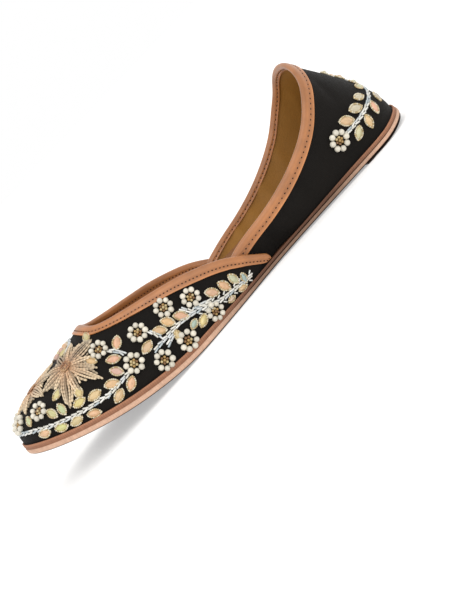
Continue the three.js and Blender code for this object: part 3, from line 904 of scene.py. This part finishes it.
def press_band(piece, node, rib, slant, depth):
    """Joins a band to a layer's rim, pressed into ribs, with a UV map along and up it."""
    ring = rim_line(piece, rib / 4)
    count, width = len(ring), len(BAND)
    ahead = unit(np.roll(ring[:, :2], -1, 0) - np.roll(ring[:, :2], 1, 0))
    out = np.stack([-ahead[:, 1], ahead[:, 0]], 1)
    along = np.arange(count + 1) * rib / 4
    stations, lips = zip(*LIPS[node])
    lip = np.interp((ring[:, 0] - HEEL_BACK) / MM, stations, lips) * MM
    low = ring[:, 2] + BAND_START[node] * MM
    high = ring[:, 3] + lip
    points = np.empty((count, width, 3))
    for k, (reach, share, pressed) in enumerate(BAND):
        wave = np.cos(2 * math.pi * (along[:-1] + slant * share) / rib)
        away = reach * MM + pressed * depth * wave
        points[:, k, :2] = ring[:, :2] + out * away[:, None]
        points[:, k, 2] = low + (high - low) * share
    faces, corners = [], []
    for i in range(count):
        for k in range(width):
            square = ((i, k), (i, (k + 1) % width), (i + 1, (k + 1) % width), (i + 1, k))
            faces.append(tuple(step % count * width + at for step, at in square))
            corners.extend((along[step], BAND[at][1]) for step, at in square)
    band = mesh_piece(node + "_band", points.reshape(-1, 3), faces)
    set_map(band, "edge", corners)
    smooth(band, 60)
    make_active(piece)
    band.select_set(True)
    bpy.ops.object.join()


def build_sole(colours, sizes):
    """The four layers, with ribbed bands pressed round the outsole and the rand."""
    rubber = soling_rubber(colours.rubber)
    for node, slot in SOLE_LAYERS:
        material = rubber
        piece = copy_node(node, node + "_layer", 1, 50, 0.8)
        if node in RIBS:
            slant, depth, rib_light = RIBS[node]
            colour = getattr(colours, node)
            bands = [(share, toned(colour, tone)) for share, tone in EDGE_TONES[node]]
            rib = sizes.rib_pitch
            material = cut_edge("bark_tanned_" + node, bands, rib, slant * MM, rib_light)
            press_band(piece, node, rib, slant * MM, depth * MM)
        finish_piece(piece, (material,), (node,))


# The inside

FLAP_EDGE = [
    # station, half: where a flap's free edge lies
    (22, 18.5),
    (40, 19.6),
    (70, 9.9),
    (100, 0.5),
    (117, 8.6),
    (133, 17.2),
    (143, 22.6),
]
FLAP_CLIMB = [
    # how high over the sock, and how far inside the lining's face a flap turns up
    (1.2, 0.75),
    (4.0, 0.35),
    (7.0, 0.35),
]
FLAP_THICKNESS = 0.8
BOARD_COLOUR = "#15120f"
FLAP_STITCHES = [
    # station, half: the running stitches, a finger's breadth in from the edge
    (24, 24.4),
    (40, 23.8),
    (56, 19.6),
    (70, 15.4),
    (84, 10.6),
    (97, 7.4),
    (104, 9.2),
    (114, 15.2),
    (126, 21.4),
    (139, 26.6),
]


def flap_rows(side, top, wall):
    """Rows of points across a flap, from its free edge over the sock and up the lining."""
    rows = []
    level = 0.0
    for station, half in curve_through(FLAP_EDGE, 12):
        edge = place(station, half + 0.3, 30)
        found = top.tree.ray_cast(Vector((edge.x, side * edge.y, edge.z)), -UP)[0]
        level = found.z if found else level
        climb = []
        for rise, tuck in FLAP_CLIMB:
            start = Vector((edge.x, 0, level + rise * MM))
            hit = wall.tree.ray_cast(start, Vector((0, side, 0)))[0]
            reach = abs(hit.y) - tuck * MM if hit else (climb[-1].y if climb else 0.026)
            climb.append(Vector((edge.x, reach, start.z)))
        span = climb[0].y - 2.5 * MM - edge.y
        flat = [Vector((edge.x, edge.y + span * t, level)) for t in (0, 0.05, 0.25, 0.5, 0.75, 1)]
        rows.append([Vector((p.x, side * p.y, p.z)) for p in (*flat, *climb)])
    return rows


def build_flap(side, name, node, wall, lining):
    """A flap as one thin sheet that lies on the sock and turns up into the lining."""
    rows = flap_rows(side, Skin(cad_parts[node]), wall)
    width = len(rows[0])
    faces = [
        (i + k, i + width + k, i + width + k + 1, i + k + 1)
        for i in range(0, (len(rows) - 1) * width, width)
        for k in range(width - 1)
    ]
    if side < 0:
        faces = [face[::-1] for face in faces]
    piece = mesh_piece(name, [p for row in rows for p in row], faces)
    apply_modifier(piece, "SOLIDIFY", thickness=FLAP_THICKNESS * MM, offset=-1)
    apply_modifier(piece, "SUBSURF", levels=1, render_levels=1)
    smooth(piece)
    finish_piece(piece, (lining,), (node,))
    return Skin(piece)


def build_tack(white):
    """The bar tack: strands laid side by side, with a few turns wound over them."""
    low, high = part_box("bar_tack")
    centre = (low + high) / 2
    length = high.y - low.y
    tack = Heap()
    for k in range(-3, 4):
        strand = grain(length - 0.5 * abs(k) * MM, 0.32 * MM)
        spot = centre + Vector((0.36 * k, 0, 0.25 - 0.06 * k * k)) * MM
        tack.add(strand, Matrix.Translation(spot) @ Matrix.Rotation(math.pi / 2, 4, "Z"))
    wrap = grain(2.6 * MM, 0.3 * MM)
    for k in range(9):
        spot = Vector((centre.x, low.y + (0.8 + k * 0.86) * MM, high.z - 0.12 * MM))
        tack.add(wrap, Matrix.Translation(spot) @ Matrix.Rotation(0.25, 4, "Z"))
    finish_piece(tack.piece("bar_tack_threads"), (white,), ("bar_tack",))


def build_inside(upper, colours, sizes):
    """The socks, the insole board, the flaps with their running stitches, and the bar tack."""
    sock = leather("vegetable_sock_leather", colours.sock, 0.8 * MM, 0.45, 30 * MM, 0.3, 0.05)
    board = leather("dyed_insole_board", srgb(BOARD_COLOUR), 0.6 * MM, 0.65, 20 * MM, 0.3, 0)
    white = cotton_thread("white_cotton_thread", colours.thread)
    for node, material, slot in (
        ("heel_sock", sock, "lining_leather"),
        ("fore_sock", sock, "lining_leather"),
        ("insole", board, "insole_cloth"),
    ):
        piece = copy_node(node, node + "_layer", 1, 50, 0.9)
        finish_piece(piece, (material,), (node,))
    stitches = Heap()
    shape = grain(sizes.stitch_length, sizes.thread_thickness / 2)
    for side, name, node in ((1, "left_flap", "flap_left"), (-1, "right_flap", "flap_right")):
        skin = build_flap(side, name, node, upper["quarter"], sock)
        chain = np.array([place(s, side * h, 0) for s, h in curve_through(FLAP_STITCHES, 10)])
        for point, ahead in evenly(chain, sizes.stitch_pitch):
            found, normal, _, _ = skin.tree.ray_cast(point + UP * 22 * MM, -UP)
            if found is not None:
                stitches.add(shape, standing(found, normal, ahead, 0.1 * MM))
    finish_piece(stitches.piece("running_stitches"), (white,))
    build_tack(white)


# The beadwork

STONES = {
    "peach": "#f0c79c",
    "yellow": "#e9dc9c",
    "green": "#d6dcb4",
    "aqua": "#b9cfc4",
    "pink": "#e9bfae",
    "pale": "#ddd5ba",
}
EYE_TONES = ("#c9a15f", "#8c6233", "#e6cf9b")
SEED_TONES = ("#f4eedd", "#ece0c2", "#dcc8a0", "#f8f4ea", "#cdb98f")
BUGLE_TONES = ("#c9cbca", "#e3e1da", "#aeb7ba", "#d3d0c6")
SPRIG_COLOUR = "#d9d8d0"
HEART_TINT = "#e2b18d"  # of a wire at the heart of its flower
TIP_TINT = "#fff6e2"
WIRE_TONES = (0.55, 0.8, 0.95, 1.05, 1.15)
LOOP_TONES = ("#cf9f7c", "#b78a68", "#e3c19c")
HEART_BEAD_COLOUR = "#6b4530"
RING_PEARLS = 8
EYE_BEADS = 6  # round the one in the middle
LEAF_STONE = (6.7, 3.7, 1.5)  # length, width and height of a leaf of size 1
SEED_RADIUS = 0.52
SEED_PITCH = 0.88
WIRE_SPACING = 1.25  # measured across a petal
WIRE_RADIUS = (0.48, 0.56)
HEART_LOOPS = 12
HEART_BEADS = 6
SPRIG_PITCH = 1.7
PEARL_FLOWERS = [
    # station, out, up, size, skin
    (145.4, 32.5, 21.6, 1.03, "vamp"),
    (157.6, 30.9, 27.5, 1.05, "vamp"),
    (142.3, 32.9, 8.6, 1.0, "vamp"),
    (161.5, 36.0, 9.4, 1.12, "vamp"),
    (175.9, 36.9, 11.5, 1.08, "vamp"),
    (174.5, 30.8, 28.4, 1.05, "vamp"),
    (192.5, 25.6, 35.9, 1.0, "vamp"),
    (186.5, 35.3, 20.8, 1.08, "vamp"),
    (232.5, 19.2, 36.5, 1.0, "vamp"),
    (243.5, 6.5, 37.4, 1.0, "vamp"),
    (40.0, 31.1, 19.3, 1.15, "quarter"),
]
LEAVES = [
    # station, out, up, turn, colour, size, skin
    (136.8, 32.7, 15.7, 47, "peach", 1.0, "vamp"),
    (130.3, 32.1, 13.5, 70, "peach", 1.0, "vamp"),
    (124.7, 31.3, 12.4, 79, "green", 0.9, "vamp"),
    (120.6, 30.1, 8.8, 100, "aqua", 0.75, "vamp"),
    (124.5, 29.8, 5.8, 10, "peach", 0.7, "vamp"),
    (132.3, 31.4, 6.4, 0, "pink", 0.6, "vamp"),
    (149.5, 34.5, 10.1, 155, "yellow", 0.95, "vamp"),
    (153.8, 35.1, 12.3, 160, "aqua", 0.75, "vamp"),
    (155.2, 34.1, 19.4, 49, "peach", 1.0, "vamp"),
    (161.4, 33.6, 21.9, 60, "peach", 1.0, "vamp"),
    (166.9, 33.8, 22.0, 45, "peach", 0.95, "vamp"),
    (163.0, 35.7, 14.3, 109, "yellow", 0.8, "vamp"),
    (184.5, 28.5, 32.4, 140, "peach", 1.0, "vamp"),
    (191.5, 31.3, 28.7, 37, "peach", 1.0, "vamp"),
    (194.7, 34.1, 24.1, 60, "pink", 0.95, "vamp"),
    (200.6, 34.9, 22.0, 28, "peach", 1.0, "vamp"),
    (202.3, 35.7, 15.9, 162, "peach", 1.0, "vamp"),
    (194.4, 36.4, 15.6, 148, "peach", 1.0, "vamp"),
    (176.8, 34.7, 21.2, 168, "peach", 1.0, "vamp"),
    (209.8, 33.6, 24.2, 6, "yellow", 1.0, "vamp"),
    (217.1, 31.4, 26.9, 6, "yellow", 0.95, "vamp"),
    (224.6, 27.4, 30.3, 90, "green", 0.9, "vamp"),
    (229.2, 25.0, 31.9, 68, "yellow", 0.9, "vamp"),
    (221.0, 23.3, 36.0, 163, "yellow", 0.9, "vamp"),
    (213.7, 29.6, 30.4, 103, "yellow", 1.0, "vamp"),
    (215.8, 32.6, 18.6, 30, "peach", 0.95, "vamp"),
    (223.9, 30.3, 21.9, 5, "yellow", 0.95, "vamp"),
    (230.9, 27.0, 24.6, 22, "yellow", 0.95, "vamp"),
    (237.6, 21.5, 27.7, 14, "peach", 0.95, "vamp"),
    (238.7, 15.1, 36.0, 75, "green", 0.8, "vamp"),
    (199.0, 26.3, 35.2, 60, "peach", 0.9, "vamp"),
    (191.5, 16.5, 42.3, 100, "yellow", 0.85, "vamp"),
    (204.3, 6.2, 45.0, 130, "yellow", 0.85, "vamp"),
    (200.6, 2.8, 45.8, 70, "peach", 0.8, "vamp"),
    (30.2, 30.3, 22.9, 35, "peach", 1.15, "quarter"),
    (21.8, 27.9, 23.4, 25, "green", 1.12, "quarter"),
    (15.4, 23.7, 25.4, 28, "pale", 0.9, "quarter"),
    (9.6, 15.6, 27.6, 20, "pale", 0.9, "quarter"),
    (29.8, 29.5, 14.4, 142, "green", 1.0, "quarter"),
    (21.7, 28.2, 14.4, 106, "peach", 1.0, "quarter"),
    (13.4, 24.8, 16.4, 118, "peach", 1.0, "quarter"),
    (6.6, 17.2, 17.8, 130, "pale", 0.9, "quarter"),
    (5.0, 9.0, 30.0, 45, "pale", 0.95, "quarter"),
    (6.5, 7.5, 36.5, 50, "peach", 0.9, "quarter"),
    (9.5, 6.0, 43.5, 60, "pale", 0.6, "quarter"),
    (7.0, 0.0, 39.0, 90, "peach", 0.9, "quarter"),
]
ROUND_STONES = [
    # station, out, up: the pair between the throat and the middle flower
    (203.2, 0, 45.4),
    (206.9, 0, 45.2),
]
SIDE_PETALS = [
    # turn, length, width
    (2, 17.5, 7),
    (42, 16, 6),
    (84, 14.5, 5.5),
    (124, 16, 6),
    (174, 18.5, 8),
    (205, 14, 4),
    (228, 16.5, 5),
    (242, 20.5, 6),
    (281, 17.5, 5),
    (302, 21.5, 7),
    (334, 13, 4),
]
MIDDLE_PETALS = [
    # turn, length, width
    (0, 17, 7),
    (44, 16, 7),
    (92, 17, 7),
    (137, 15, 7),
    (180, 16, 7),
    (223, 15, 7),
    (268, 17, 7),
    (316, 16, 7),
]
GOLD_FLOWERS = [
    # station, out, up, petals
    (208.3, 18.9, 40.4, SIDE_PETALS),
    (226.5, 0, 42.4, MIDDLE_PETALS),
]
STEMS = [
    # skin, whether it has sprigs, then station, out and up of a stem's points
    ("vamp", True, [
        (117.5, 28.3, 6.8), (128.3, 31.2, 8.6), (137.2, 32.7, 10.4), (147.6, 34, 15),
        (160.2, 34.9, 17.7), (175.5, 35.5, 17.6),
    ]),
    ("vamp", False, [(150.4, 33.8, 17.4), (153.2, 32.8, 22.4)]),
    ("vamp", False, [(147.0, 33.6, 16.9), (138.6, 33, 13.0)]),
    ("vamp", False, [(170.4, 32.6, 24.6), (168.4, 35.1, 18.9)]),
    ("vamp", False, [(165.2, 36, 16.0), (171.2, 36.4, 14.4)]),
    ("vamp", False, [(189.5, 28.2, 32.0), (187.3, 30.3, 29.0), (185.9, 32.9, 26.4)]),
    ("vamp", False, [(192.0, 35.6, 19.6), (197.5, 35.5, 19.6), (205.3, 35.3, 19.6)]),
    ("vamp", False, [(197.2, 2.2, 46.4), (199.0, 6.5, 45.4), (203.0, 9.8, 43.6)]),
    ("vamp", False, [
        (205.3, 35.3, 19.6), (218.6, 31.9, 23.0), (232.2, 25.2, 27.8), (240.0, 17.5, 31.6),
        (245.2, 9.0, 33.8), (247.0, 0, 34.4),
    ]),
    ("quarter", False, [
        (36.0, 30.8, 18.9), (25.7, 29.3, 18.8), (16.9, 26.2, 19.8), (9.0, 19.6, 22.2),
        (4.6, 10.4, 26.5), (4.0, 3.4, 33.0), (6.4, 0.6, 41.0),
    ]),
]


def sew_pearl_flowers(upper, colours, sizes):
    """Pearls in a ring round an eye of gilt beads."""
    pearl, bead = ball(1.0), ball(0.5, 8, 5)
    pearls, eyes = Heap(), Heap()
    dice = random.Random(4)
    for station, out, up, size, node in both_sides(PEARL_FLOWERS):
        radius = size * sizes.pearl_diameter / 2
        ring = 0.96 * radius / math.sin(math.pi / RING_PEARLS)
        centre, normal = upper[node].seat(station, out, up)
        heading = facing(normal, dice.uniform(0, 45))
        for k in range(RING_PEARLS):
            angle = 360 / RING_PEARLS * k + dice.uniform(-3, 3)
            turn = Matrix.Rotation(math.radians(angle), 3, normal)
            spot, away = upper[node].drop(centre + (turn @ heading) * ring, normal, 6)
            grown = radius * dice.uniform(0.9, 1.03)
            stand = standing(spot, away, heading, 0.7 * radius) @ Matrix.Scale(grown, 4)
            pearls.add(pearl, stand, np.ones(3) * dice.uniform(0.78, 1.0))
        for k in range(EYE_BEADS + 1):
            reach, lift = (0.98, 0.4) if k < EYE_BEADS else (0, 0.75)
            turn = Matrix.Rotation(math.radians(360 / EYE_BEADS * k + 12), 3, normal)
            spot = centre + (turn @ heading) * reach * radius
            tint = srgb(dice.choice(EYE_TONES))
            stand = standing(spot, normal, heading, lift * radius)
            eyes.add(bead, stand @ Matrix.Scale(radius, 4), tint)
    finish_piece(pearls.piece("pearl_beads"), (bead_finish("pearl_lacquer", colours),))
    finish_piece(eyes.piece("flower_eyes"), (bead_finish("cast_resin", colours),))


def sew_leaves(upper, colours):
    """Leaf stones, each held by a row of seed beads round it, and the pair of round stones."""
    stones, seeds = Heap(), Heap()
    seed = ball(SEED_RADIUS * MM, 6, 4)
    dice = random.Random(7)
    for station, out, up, turn, colour, size, node in both_sides(LEAVES):
        centre, normal = upper[node].seat(station, out, up)
        length, width, height = (side * MM for side in LEAF_STONE)
        length *= size
        width *= size
        tint = [min(c * dice.uniform(0.9, 1.1), 1) for c in srgb(STONES[colour])]
        stand = standing(centre, normal, facing(normal, turn), 0.25 * MM)
        stones.add(marquise(length, width, height), stand, tint)
        angles = np.linspace(-math.pi, math.pi, 61)
        bow = np.sign(np.sin(angles)) * np.abs(np.sin(angles)) ** 1.7
        loop = np.stack([np.cos(angles) * length / 2 * 1.07, bow * width / 2 * 1.12, 0 * angles], 1)
        for spot, _ in evenly(loop, SEED_PITCH * MM):
            tone = srgb(dice.choice(SEED_TONES))
            seeds.add(seed, stand @ Matrix.Translation(spot + UP * 0.25 * MM), tone)
    for station, out, up in ROUND_STONES:
        centre, normal = upper["vamp"].seat(station, out, up)
        stand = standing(centre, normal, Vector((1, 0, 0)), 0.4 * MM)
        stones.add(ball(1.75 * MM, 12, 8), stand, srgb(STONES["pink"]))
    finish_piece(stones.piece("leaf_stones"), (bead_finish("cast_resin", colours),))
    finish_piece(seeds.piece("leaf_seed_beads"), (bead_finish("pearl_lacquer", colours),))


def petal_strand(skin, centre, heading, size, strand, reach, lift):
    """Path of one wire of a petal, which bows out from the heart and in again to the tip."""
    length, width = size
    spot, normal = centre
    aside = normal.cross(heading)
    path = []
    for share in np.linspace(0.08, reach, 40):
        bow = 0.5 * width * math.sin(math.pi * share**1.15) ** 0.75 + 0.7 * (1 - share)
        point = spot + (heading * length * share + aside * bow * strand) * MM
        found, away = skin.drop(point, normal, 10)
        crown = math.sin(math.pi * (0.1 + 0.88 * share)) * (1 - 0.7 * strand * strand)
        path.append(found + away * (0.35 + lift + 0.9 * crown) * MM)
    return path


def sew_petal(wires, skin, centre, petal, dice):
    """The wires of one petal, side by side, longest and highest in its middle."""
    turn, length, width = petal
    heading = facing(centre[1], turn)
    heart_tint, tip_tint = np.array(srgb(HEART_TINT)), np.array(srgb(TIP_TINT))
    for strand in np.linspace(-1, 1, round(width / WIRE_SPACING) + 1):
        reach = (1 - 0.3 * strand * strand) * dice.uniform(0.92, 1.0)
        strand += dice.uniform(-0.04, 0.04)
        lift = dice.uniform(0, 0.3)
        path = petal_strand(skin, centre, heading, (length, width), strand, reach, lift)
        share = np.repeat(np.linspace(0, 1, len(path)) ** 0.6, 5)[:, None]
        tints = (heart_tint + (tip_tint - heart_tint) * share) * dice.choice(WIRE_TONES)
        radius = dice.uniform(*WIRE_RADIUS) * MM
        wires.add(tube(path, radius, 5, 0.12, dice.uniform(1.2, 2.2) * MM), None, tints)


def sew_heart(hearts, centre, dice):
    """A flower's heart: a ring of small loops, and beads in its middle."""
    spot, normal = centre
    angles = np.linspace(0, 2 * math.pi, 14)
    loop = [1.5 * (1 - np.cos(angles)), 0.7 * np.sin(angles), 1.5 + 0.5 * np.sin(angles / 2)]
    for k in range(HEART_LOOPS):
        turn = 360 / HEART_LOOPS * k + dice.uniform(-9, 9)
        stand = standing(spot, normal, facing(normal, turn))
        path = [stand @ Vector(point * MM) for point in np.stack(loop, 1)]
        hearts.add(tube(path, 0.3 * MM, 5, 0.15), None, srgb(dice.choice(LOOP_TONES)))
    for k in range(HEART_BEADS):
        away = facing(normal, 360 / HEART_BEADS * k) * 1.3 * MM
        stand = standing(spot + away, normal, facing(normal, 0), 1.7 * MM)
        hearts.add(ball(0.5 * MM, 6, 5), stand, srgb(HEART_BEAD_COLOUR))


def sew_gold_flowers(upper, colours):
    """Petals of gilt bullion laid side by side, with a heart of small loops."""
    wires, hearts = Heap(), Heap()
    dice = random.Random(11)
    for station, out, up, petals in both_sides(GOLD_FLOWERS):
        centre = upper["vamp"].seat(station, out, up)
        for petal in petals:
            sew_petal(wires, upper["vamp"], centre, petal, dice)
        sew_heart(hearts, centre, dice)
    for heap, name in ((wires, "gold_flower_wires"), (hearts, "gold_flower_hearts")):
        finish_piece(heap.piece(name), (bead_finish("gilt_bullion", colours),))


def lay_bugle(skin, point, ahead, row, aside):
    """Where a bead beside a stem's line is seated, with the normal and the way across."""
    found, normal = skin.drop(point, skin.outward(point))
    across = normal.cross(ahead).normalized() * row
    return found + across * aside * MM, normal, across


def string_stems(upper, colours, sizes):
    """Two rows of bugle beads side by side along each stem, and short ones as its sprigs."""
    length = sizes.bugle_length
    bugle, short = rod(length, 0.54 * MM), rod(0.65 * length, 0.45 * MM)
    beads = Heap()
    dice = random.Random(3)
    for node, sprigged, points in STEMS:
        for side in (1, -1):
            curve = curve_through(points, 8)
            chain = np.array([place(s, side * o, u) for s, o, u in curve])
            for row, start in ((-1, 0.05 * MM), (1, 0.3 * length)):
                for point, ahead in evenly(chain, length + 0.1 * MM, start):
                    spot, normal, across = lay_bugle(upper[node], point, ahead, row, 0.52)
                    heading = ahead + across * dice.uniform(0.0, 0.3)
                    tone = srgb(dice.choice(BUGLE_TONES))
                    beads.add(bugle, standing(spot, normal, heading, 0.45 * MM), tone)
            if sprigged:
                stops = evenly(chain[: len(chain) * 2 // 3], SPRIG_PITCH * MM)
                for count, (point, ahead) in enumerate(stops):
                    row = -1 if count % 2 == 0 else 1
                    spot, normal, across = lay_bugle(upper[node], point, ahead, row, 1.9)
                    heading = (across * 0.75 - ahead).normalized()
                    stand = standing(spot - ahead * 0.5 * MM, normal, heading, 0.4 * MM)
                    beads.add(short, stand, srgb(SPRIG_COLOUR))
    finish_piece(beads.piece("bugle_beads"), (bead_finish("silvered_glass", colours),))


# The stage

SHOE_TURN = 171.4  # the photo's angle round the shoe, in degrees
SHOE_TILT = 9.6
SHOE_ROLL = 2.8
PICTURE_TURN = 49.3  # the shoe stands on its toe in the picture
CAMERA_DISTANCE = 0.776
FOCAL_PIXELS = 1041.0  # of the photo
ENLARGED = 1.5
LONG_SIDE = 593  # of the photo, in pixels
TABLE_RADIUS = 6  # in metres
LAMPS = [
    # name, direction it comes from, strength, softness in degrees
    ("key", (0.5, 0.9, 1.2), 0.6, 60),
    ("fill", (-1.0, -0.6, 0.9), 0.3, 70),
    ("front", (0.1, 1.2, 0.7), 0.65, 60),
]


def build_camera():
    """The camera at the photo's angle, with the shoe a little larger."""
    turn, tilt, roll, lean = map(math.radians, (SHOE_TURN, SHOE_TILT, SHOE_ROLL, PICTURE_TURN))
    look = Vector(
        (-math.sin(turn) * math.cos(tilt), math.cos(turn) * math.cos(tilt), -math.sin(tilt))
    )
    level = Vector((math.cos(turn), math.sin(turn), 0))
    climb = level.cross(look)
    level, climb = (
        level * math.cos(roll) + climb * math.sin(roll),
        climb * math.cos(roll) - level * math.sin(roll),
    )
    right = level * math.cos(lean) - climb * math.sin(lean)
    above = level * math.sin(lean) + climb * math.cos(lean)
    camera = bpy.data.objects.new("camera", bpy.data.cameras.new("camera"))
    bpy.context.collection.objects.link(camera)
    camera.matrix_world = (
        Matrix.Translation(-look * CAMERA_DISTANCE)
        @ Matrix((right, above, -look)).transposed().to_4x4()
    )
    camera.data.lens = FOCAL_PIXELS * ENLARGED * camera.data.sensor_width / LONG_SIDE
    bpy.context.scene.camera = camera


def build_stage():
    """The table, the lamps, the pale surroundings and the camera."""
    deselect()
    bpy.ops.mesh.primitive_circle_add(vertices=96, radius=TABLE_RADIUS, fill_type="NGON")
    floor = bpy.context.object
    floor.name = "shooting_table"
    floor.data.materials.append(white_acrylic())
    for name, direction, strength, softness in LAMPS:
        lamp = bpy.data.lights.new(name, "SUN")
        lamp.energy = strength
        lamp.angle = math.radians(softness)
        holder = bpy.data.objects.new(name, lamp)
        holder.rotation_euler = Vector(direction).to_track_quat("Z", "Y").to_euler()
        bpy.context.collection.objects.link(holder)
    world = bpy.context.scene.world or bpy.data.worlds.new("studio")
    bpy.context.scene.world = world
    world.use_nodes = True
    around = world.node_tree.nodes["Background"]
    around.inputs["Color"].default_value = (1, 1, 1, 1)
    around.inputs["Strength"].default_value = 1.0
    bpy.context.scene.view_settings.view_transform = "Standard"
    build_camera()


# The add-on


def length_property(name, description, default):
    """A length in the sidebar."""
    return bpy.props.FloatProperty(
        name=name, description=description, default=default, subtype="DISTANCE", unit="LENGTH"
    )


def colour_property(name, description, code):
    """A colour in the sidebar, from an sRGB hex value."""
    return bpy.props.FloatVectorProperty(
        name=name, description=description, default=srgb(code), subtype="COLOR", size=3, min=0,
        max=1,
    )


class MojariSizes(bpy.types.PropertyGroup):
    """Sizes of the handwork."""

    pearl_diameter: length_property("Pearl", "Diameter of a pearl bead", 2.85 * MM)
    bugle_length: length_property("Bugle", "Length of a bugle bead", 3.0 * MM)
    stitch_share: bpy.props.FloatProperty(
        name="Edging stitch", description="Longer or shorter than the usual stitch", default=1.0,
        min=0.5, subtype="FACTOR",
    )
    rib_pitch: length_property("Rand rib", "From one rib of the rand to the next", 1.1 * MM)
    stitch_pitch: length_property("Flap stitch", "From one flap stitch to the next", 5.0 * MM)
    stitch_length: length_property("Stitch length", "Length of a flap stitch", 3.0 * MM)
    thread_thickness: length_property("Thread", "Thickness of the white thread", 1.0 * MM)


class MojariColours(bpy.types.PropertyGroup):
    """Colours of the materials."""

    cloth: colour_property("Cloth", "Cotton satin of the upper", "#100c08")
    edging: colour_property("Edging", "Goat leather of the edgings", "#a0673a")
    lining: colour_property("Lining", "Lining leather of the upper", "#8d6228")
    sock: colour_property("Socks", "Leather of the socks and flaps", "#7d4f22")
    rand: colour_property("Rand", "Cut edge of the rand", "#8b5f46")
    outsole: colour_property("Outsole", "Cut edge of the outsole", "#bf9a82")
    rubber: colour_property("Rubber", "Sheet and tap under the sole", "#33231b")
    thread: colour_property("Thread", "Running stitches and tack", "#f3ecdd")
    pearl: colour_property("Pearls", "Pearl lacquer", "#d6cfbe")
    gold: colour_property("Gold", "Gilt bullion", "#d9ccba")


pieces = {}  # what one step makes and a later one needs


class MOJARI_OT_upper(bpy.types.Operator):
    """Smooths and lines the vamp and the quarter"""

    bl_idname = "mojari.upper"
    bl_label = "Upper"

    def execute(self, context):
        pieces["upper"] = build_upper(context.scene.mojari_colours)
        return {"FINISHED"}


class MOJARI_OT_edgings(bpy.types.Operator):
    """Trims and stitches the tan edgings"""

    bl_idname = "mojari.edgings"
    bl_label = "Edgings"

    def execute(self, context):
        scene = context.scene
        build_edgings(pieces["upper"], scene.mojari_colours, scene.mojari_sizes)
        return {"FINISHED"}


class MOJARI_OT_sole(bpy.types.Operator):
    """Finishes the sole's layers"""

    bl_idname = "mojari.sole"
    bl_label = "Sole"

    def execute(self, context):
        build_sole(context.scene.mojari_colours, context.scene.mojari_sizes)
        return {"FINISHED"}


class MOJARI_OT_inside(bpy.types.Operator):
    """Lays the socks, the flaps, their stitches and the tack"""

    bl_idname = "mojari.inside"
    bl_label = "Inside"

    def execute(self, context):
        scene = context.scene
        build_inside(pieces["upper"], scene.mojari_colours, scene.mojari_sizes)
        return {"FINISHED"}


class MOJARI_OT_pearl_flowers(bpy.types.Operator):
    """Sews on the pearl flowers and their eyes"""

    bl_idname = "mojari.pearl_flowers"
    bl_label = "Pearl flowers"

    def execute(self, context):
        scene = context.scene
        sew_pearl_flowers(pieces["upper"], scene.mojari_colours, scene.mojari_sizes)
        return {"FINISHED"}


class MOJARI_OT_leaves(bpy.types.Operator):
    """Sews on the leaf stones and their seed beads"""

    bl_idname = "mojari.leaves"
    bl_label = "Leaves"

    def execute(self, context):
        sew_leaves(pieces["upper"], context.scene.mojari_colours)
        return {"FINISHED"}


class MOJARI_OT_gold_flowers(bpy.types.Operator):
    """Lays the petals and hearts of the gold flowers"""

    bl_idname = "mojari.gold_flowers"
    bl_label = "Gold flowers"

    def execute(self, context):
        sew_gold_flowers(pieces["upper"], context.scene.mojari_colours)
        return {"FINISHED"}


class MOJARI_OT_stems(bpy.types.Operator):
    """Strings the stems of bugle beads"""

    bl_idname = "mojari.stems"
    bl_label = "Stems"

    def execute(self, context):
        scene = context.scene
        string_stems(pieces["upper"], scene.mojari_colours, scene.mojari_sizes)
        return {"FINISHED"}


class MOJARI_OT_stage(bpy.types.Operator):
    """Sets the table, the lamps and the camera"""

    bl_idname = "mojari.stage"
    bl_label = "Stage"

    def execute(self, context):
        build_stage()
        return {"FINISHED"}


OPERATORS = (
    MOJARI_OT_upper,
    MOJARI_OT_edgings,
    MOJARI_OT_sole,
    MOJARI_OT_inside,
    MOJARI_OT_pearl_flowers,
    MOJARI_OT_leaves,
    MOJARI_OT_gold_flowers,
    MOJARI_OT_stems,
    MOJARI_OT_stage,
)


class MOJARI_PT_panel(bpy.types.Panel):
    """Lists the sizes, the colours and the steps in the sidebar"""

    bl_idname = "MOJARI_PT_panel"
    bl_label = "Mojari"
    bl_space_type = "VIEW_3D"
    bl_region_type = "UI"
    bl_category = "Mojari"

    def draw(self, context):
        for group in (context.scene.mojari_sizes, context.scene.mojari_colours):
            for name in group.__annotations__:
                self.layout.prop(group, name)
        for step in OPERATORS:
            self.layout.operator(step.bl_idname)


CLASSES = (MojariSizes, MojariColours, *OPERATORS, MOJARI_PT_panel)


def register():
    """Registers the classes and gives a scene its sizes and colours."""
    for one in CLASSES:
        bpy.utils.register_class(one)
    bpy.types.Scene.mojari_sizes = bpy.props.PointerProperty(type=MojariSizes)
    bpy.types.Scene.mojari_colours = bpy.props.PointerProperty(type=MojariColours)


def unregister():
    """Takes back what register has done."""
    del bpy.types.Scene.mojari_colours
    del bpy.types.Scene.mojari_sizes
    for one in reversed(CLASSES):
        bpy.utils.unregister_class(one)


def main():
    """Runs every step in order."""
    register()
    for step in OPERATORS:
        family, name = step.bl_idname.split(".")
        getattr(getattr(bpy.ops, family), name)()


if __name__ == "__main__":
    main()
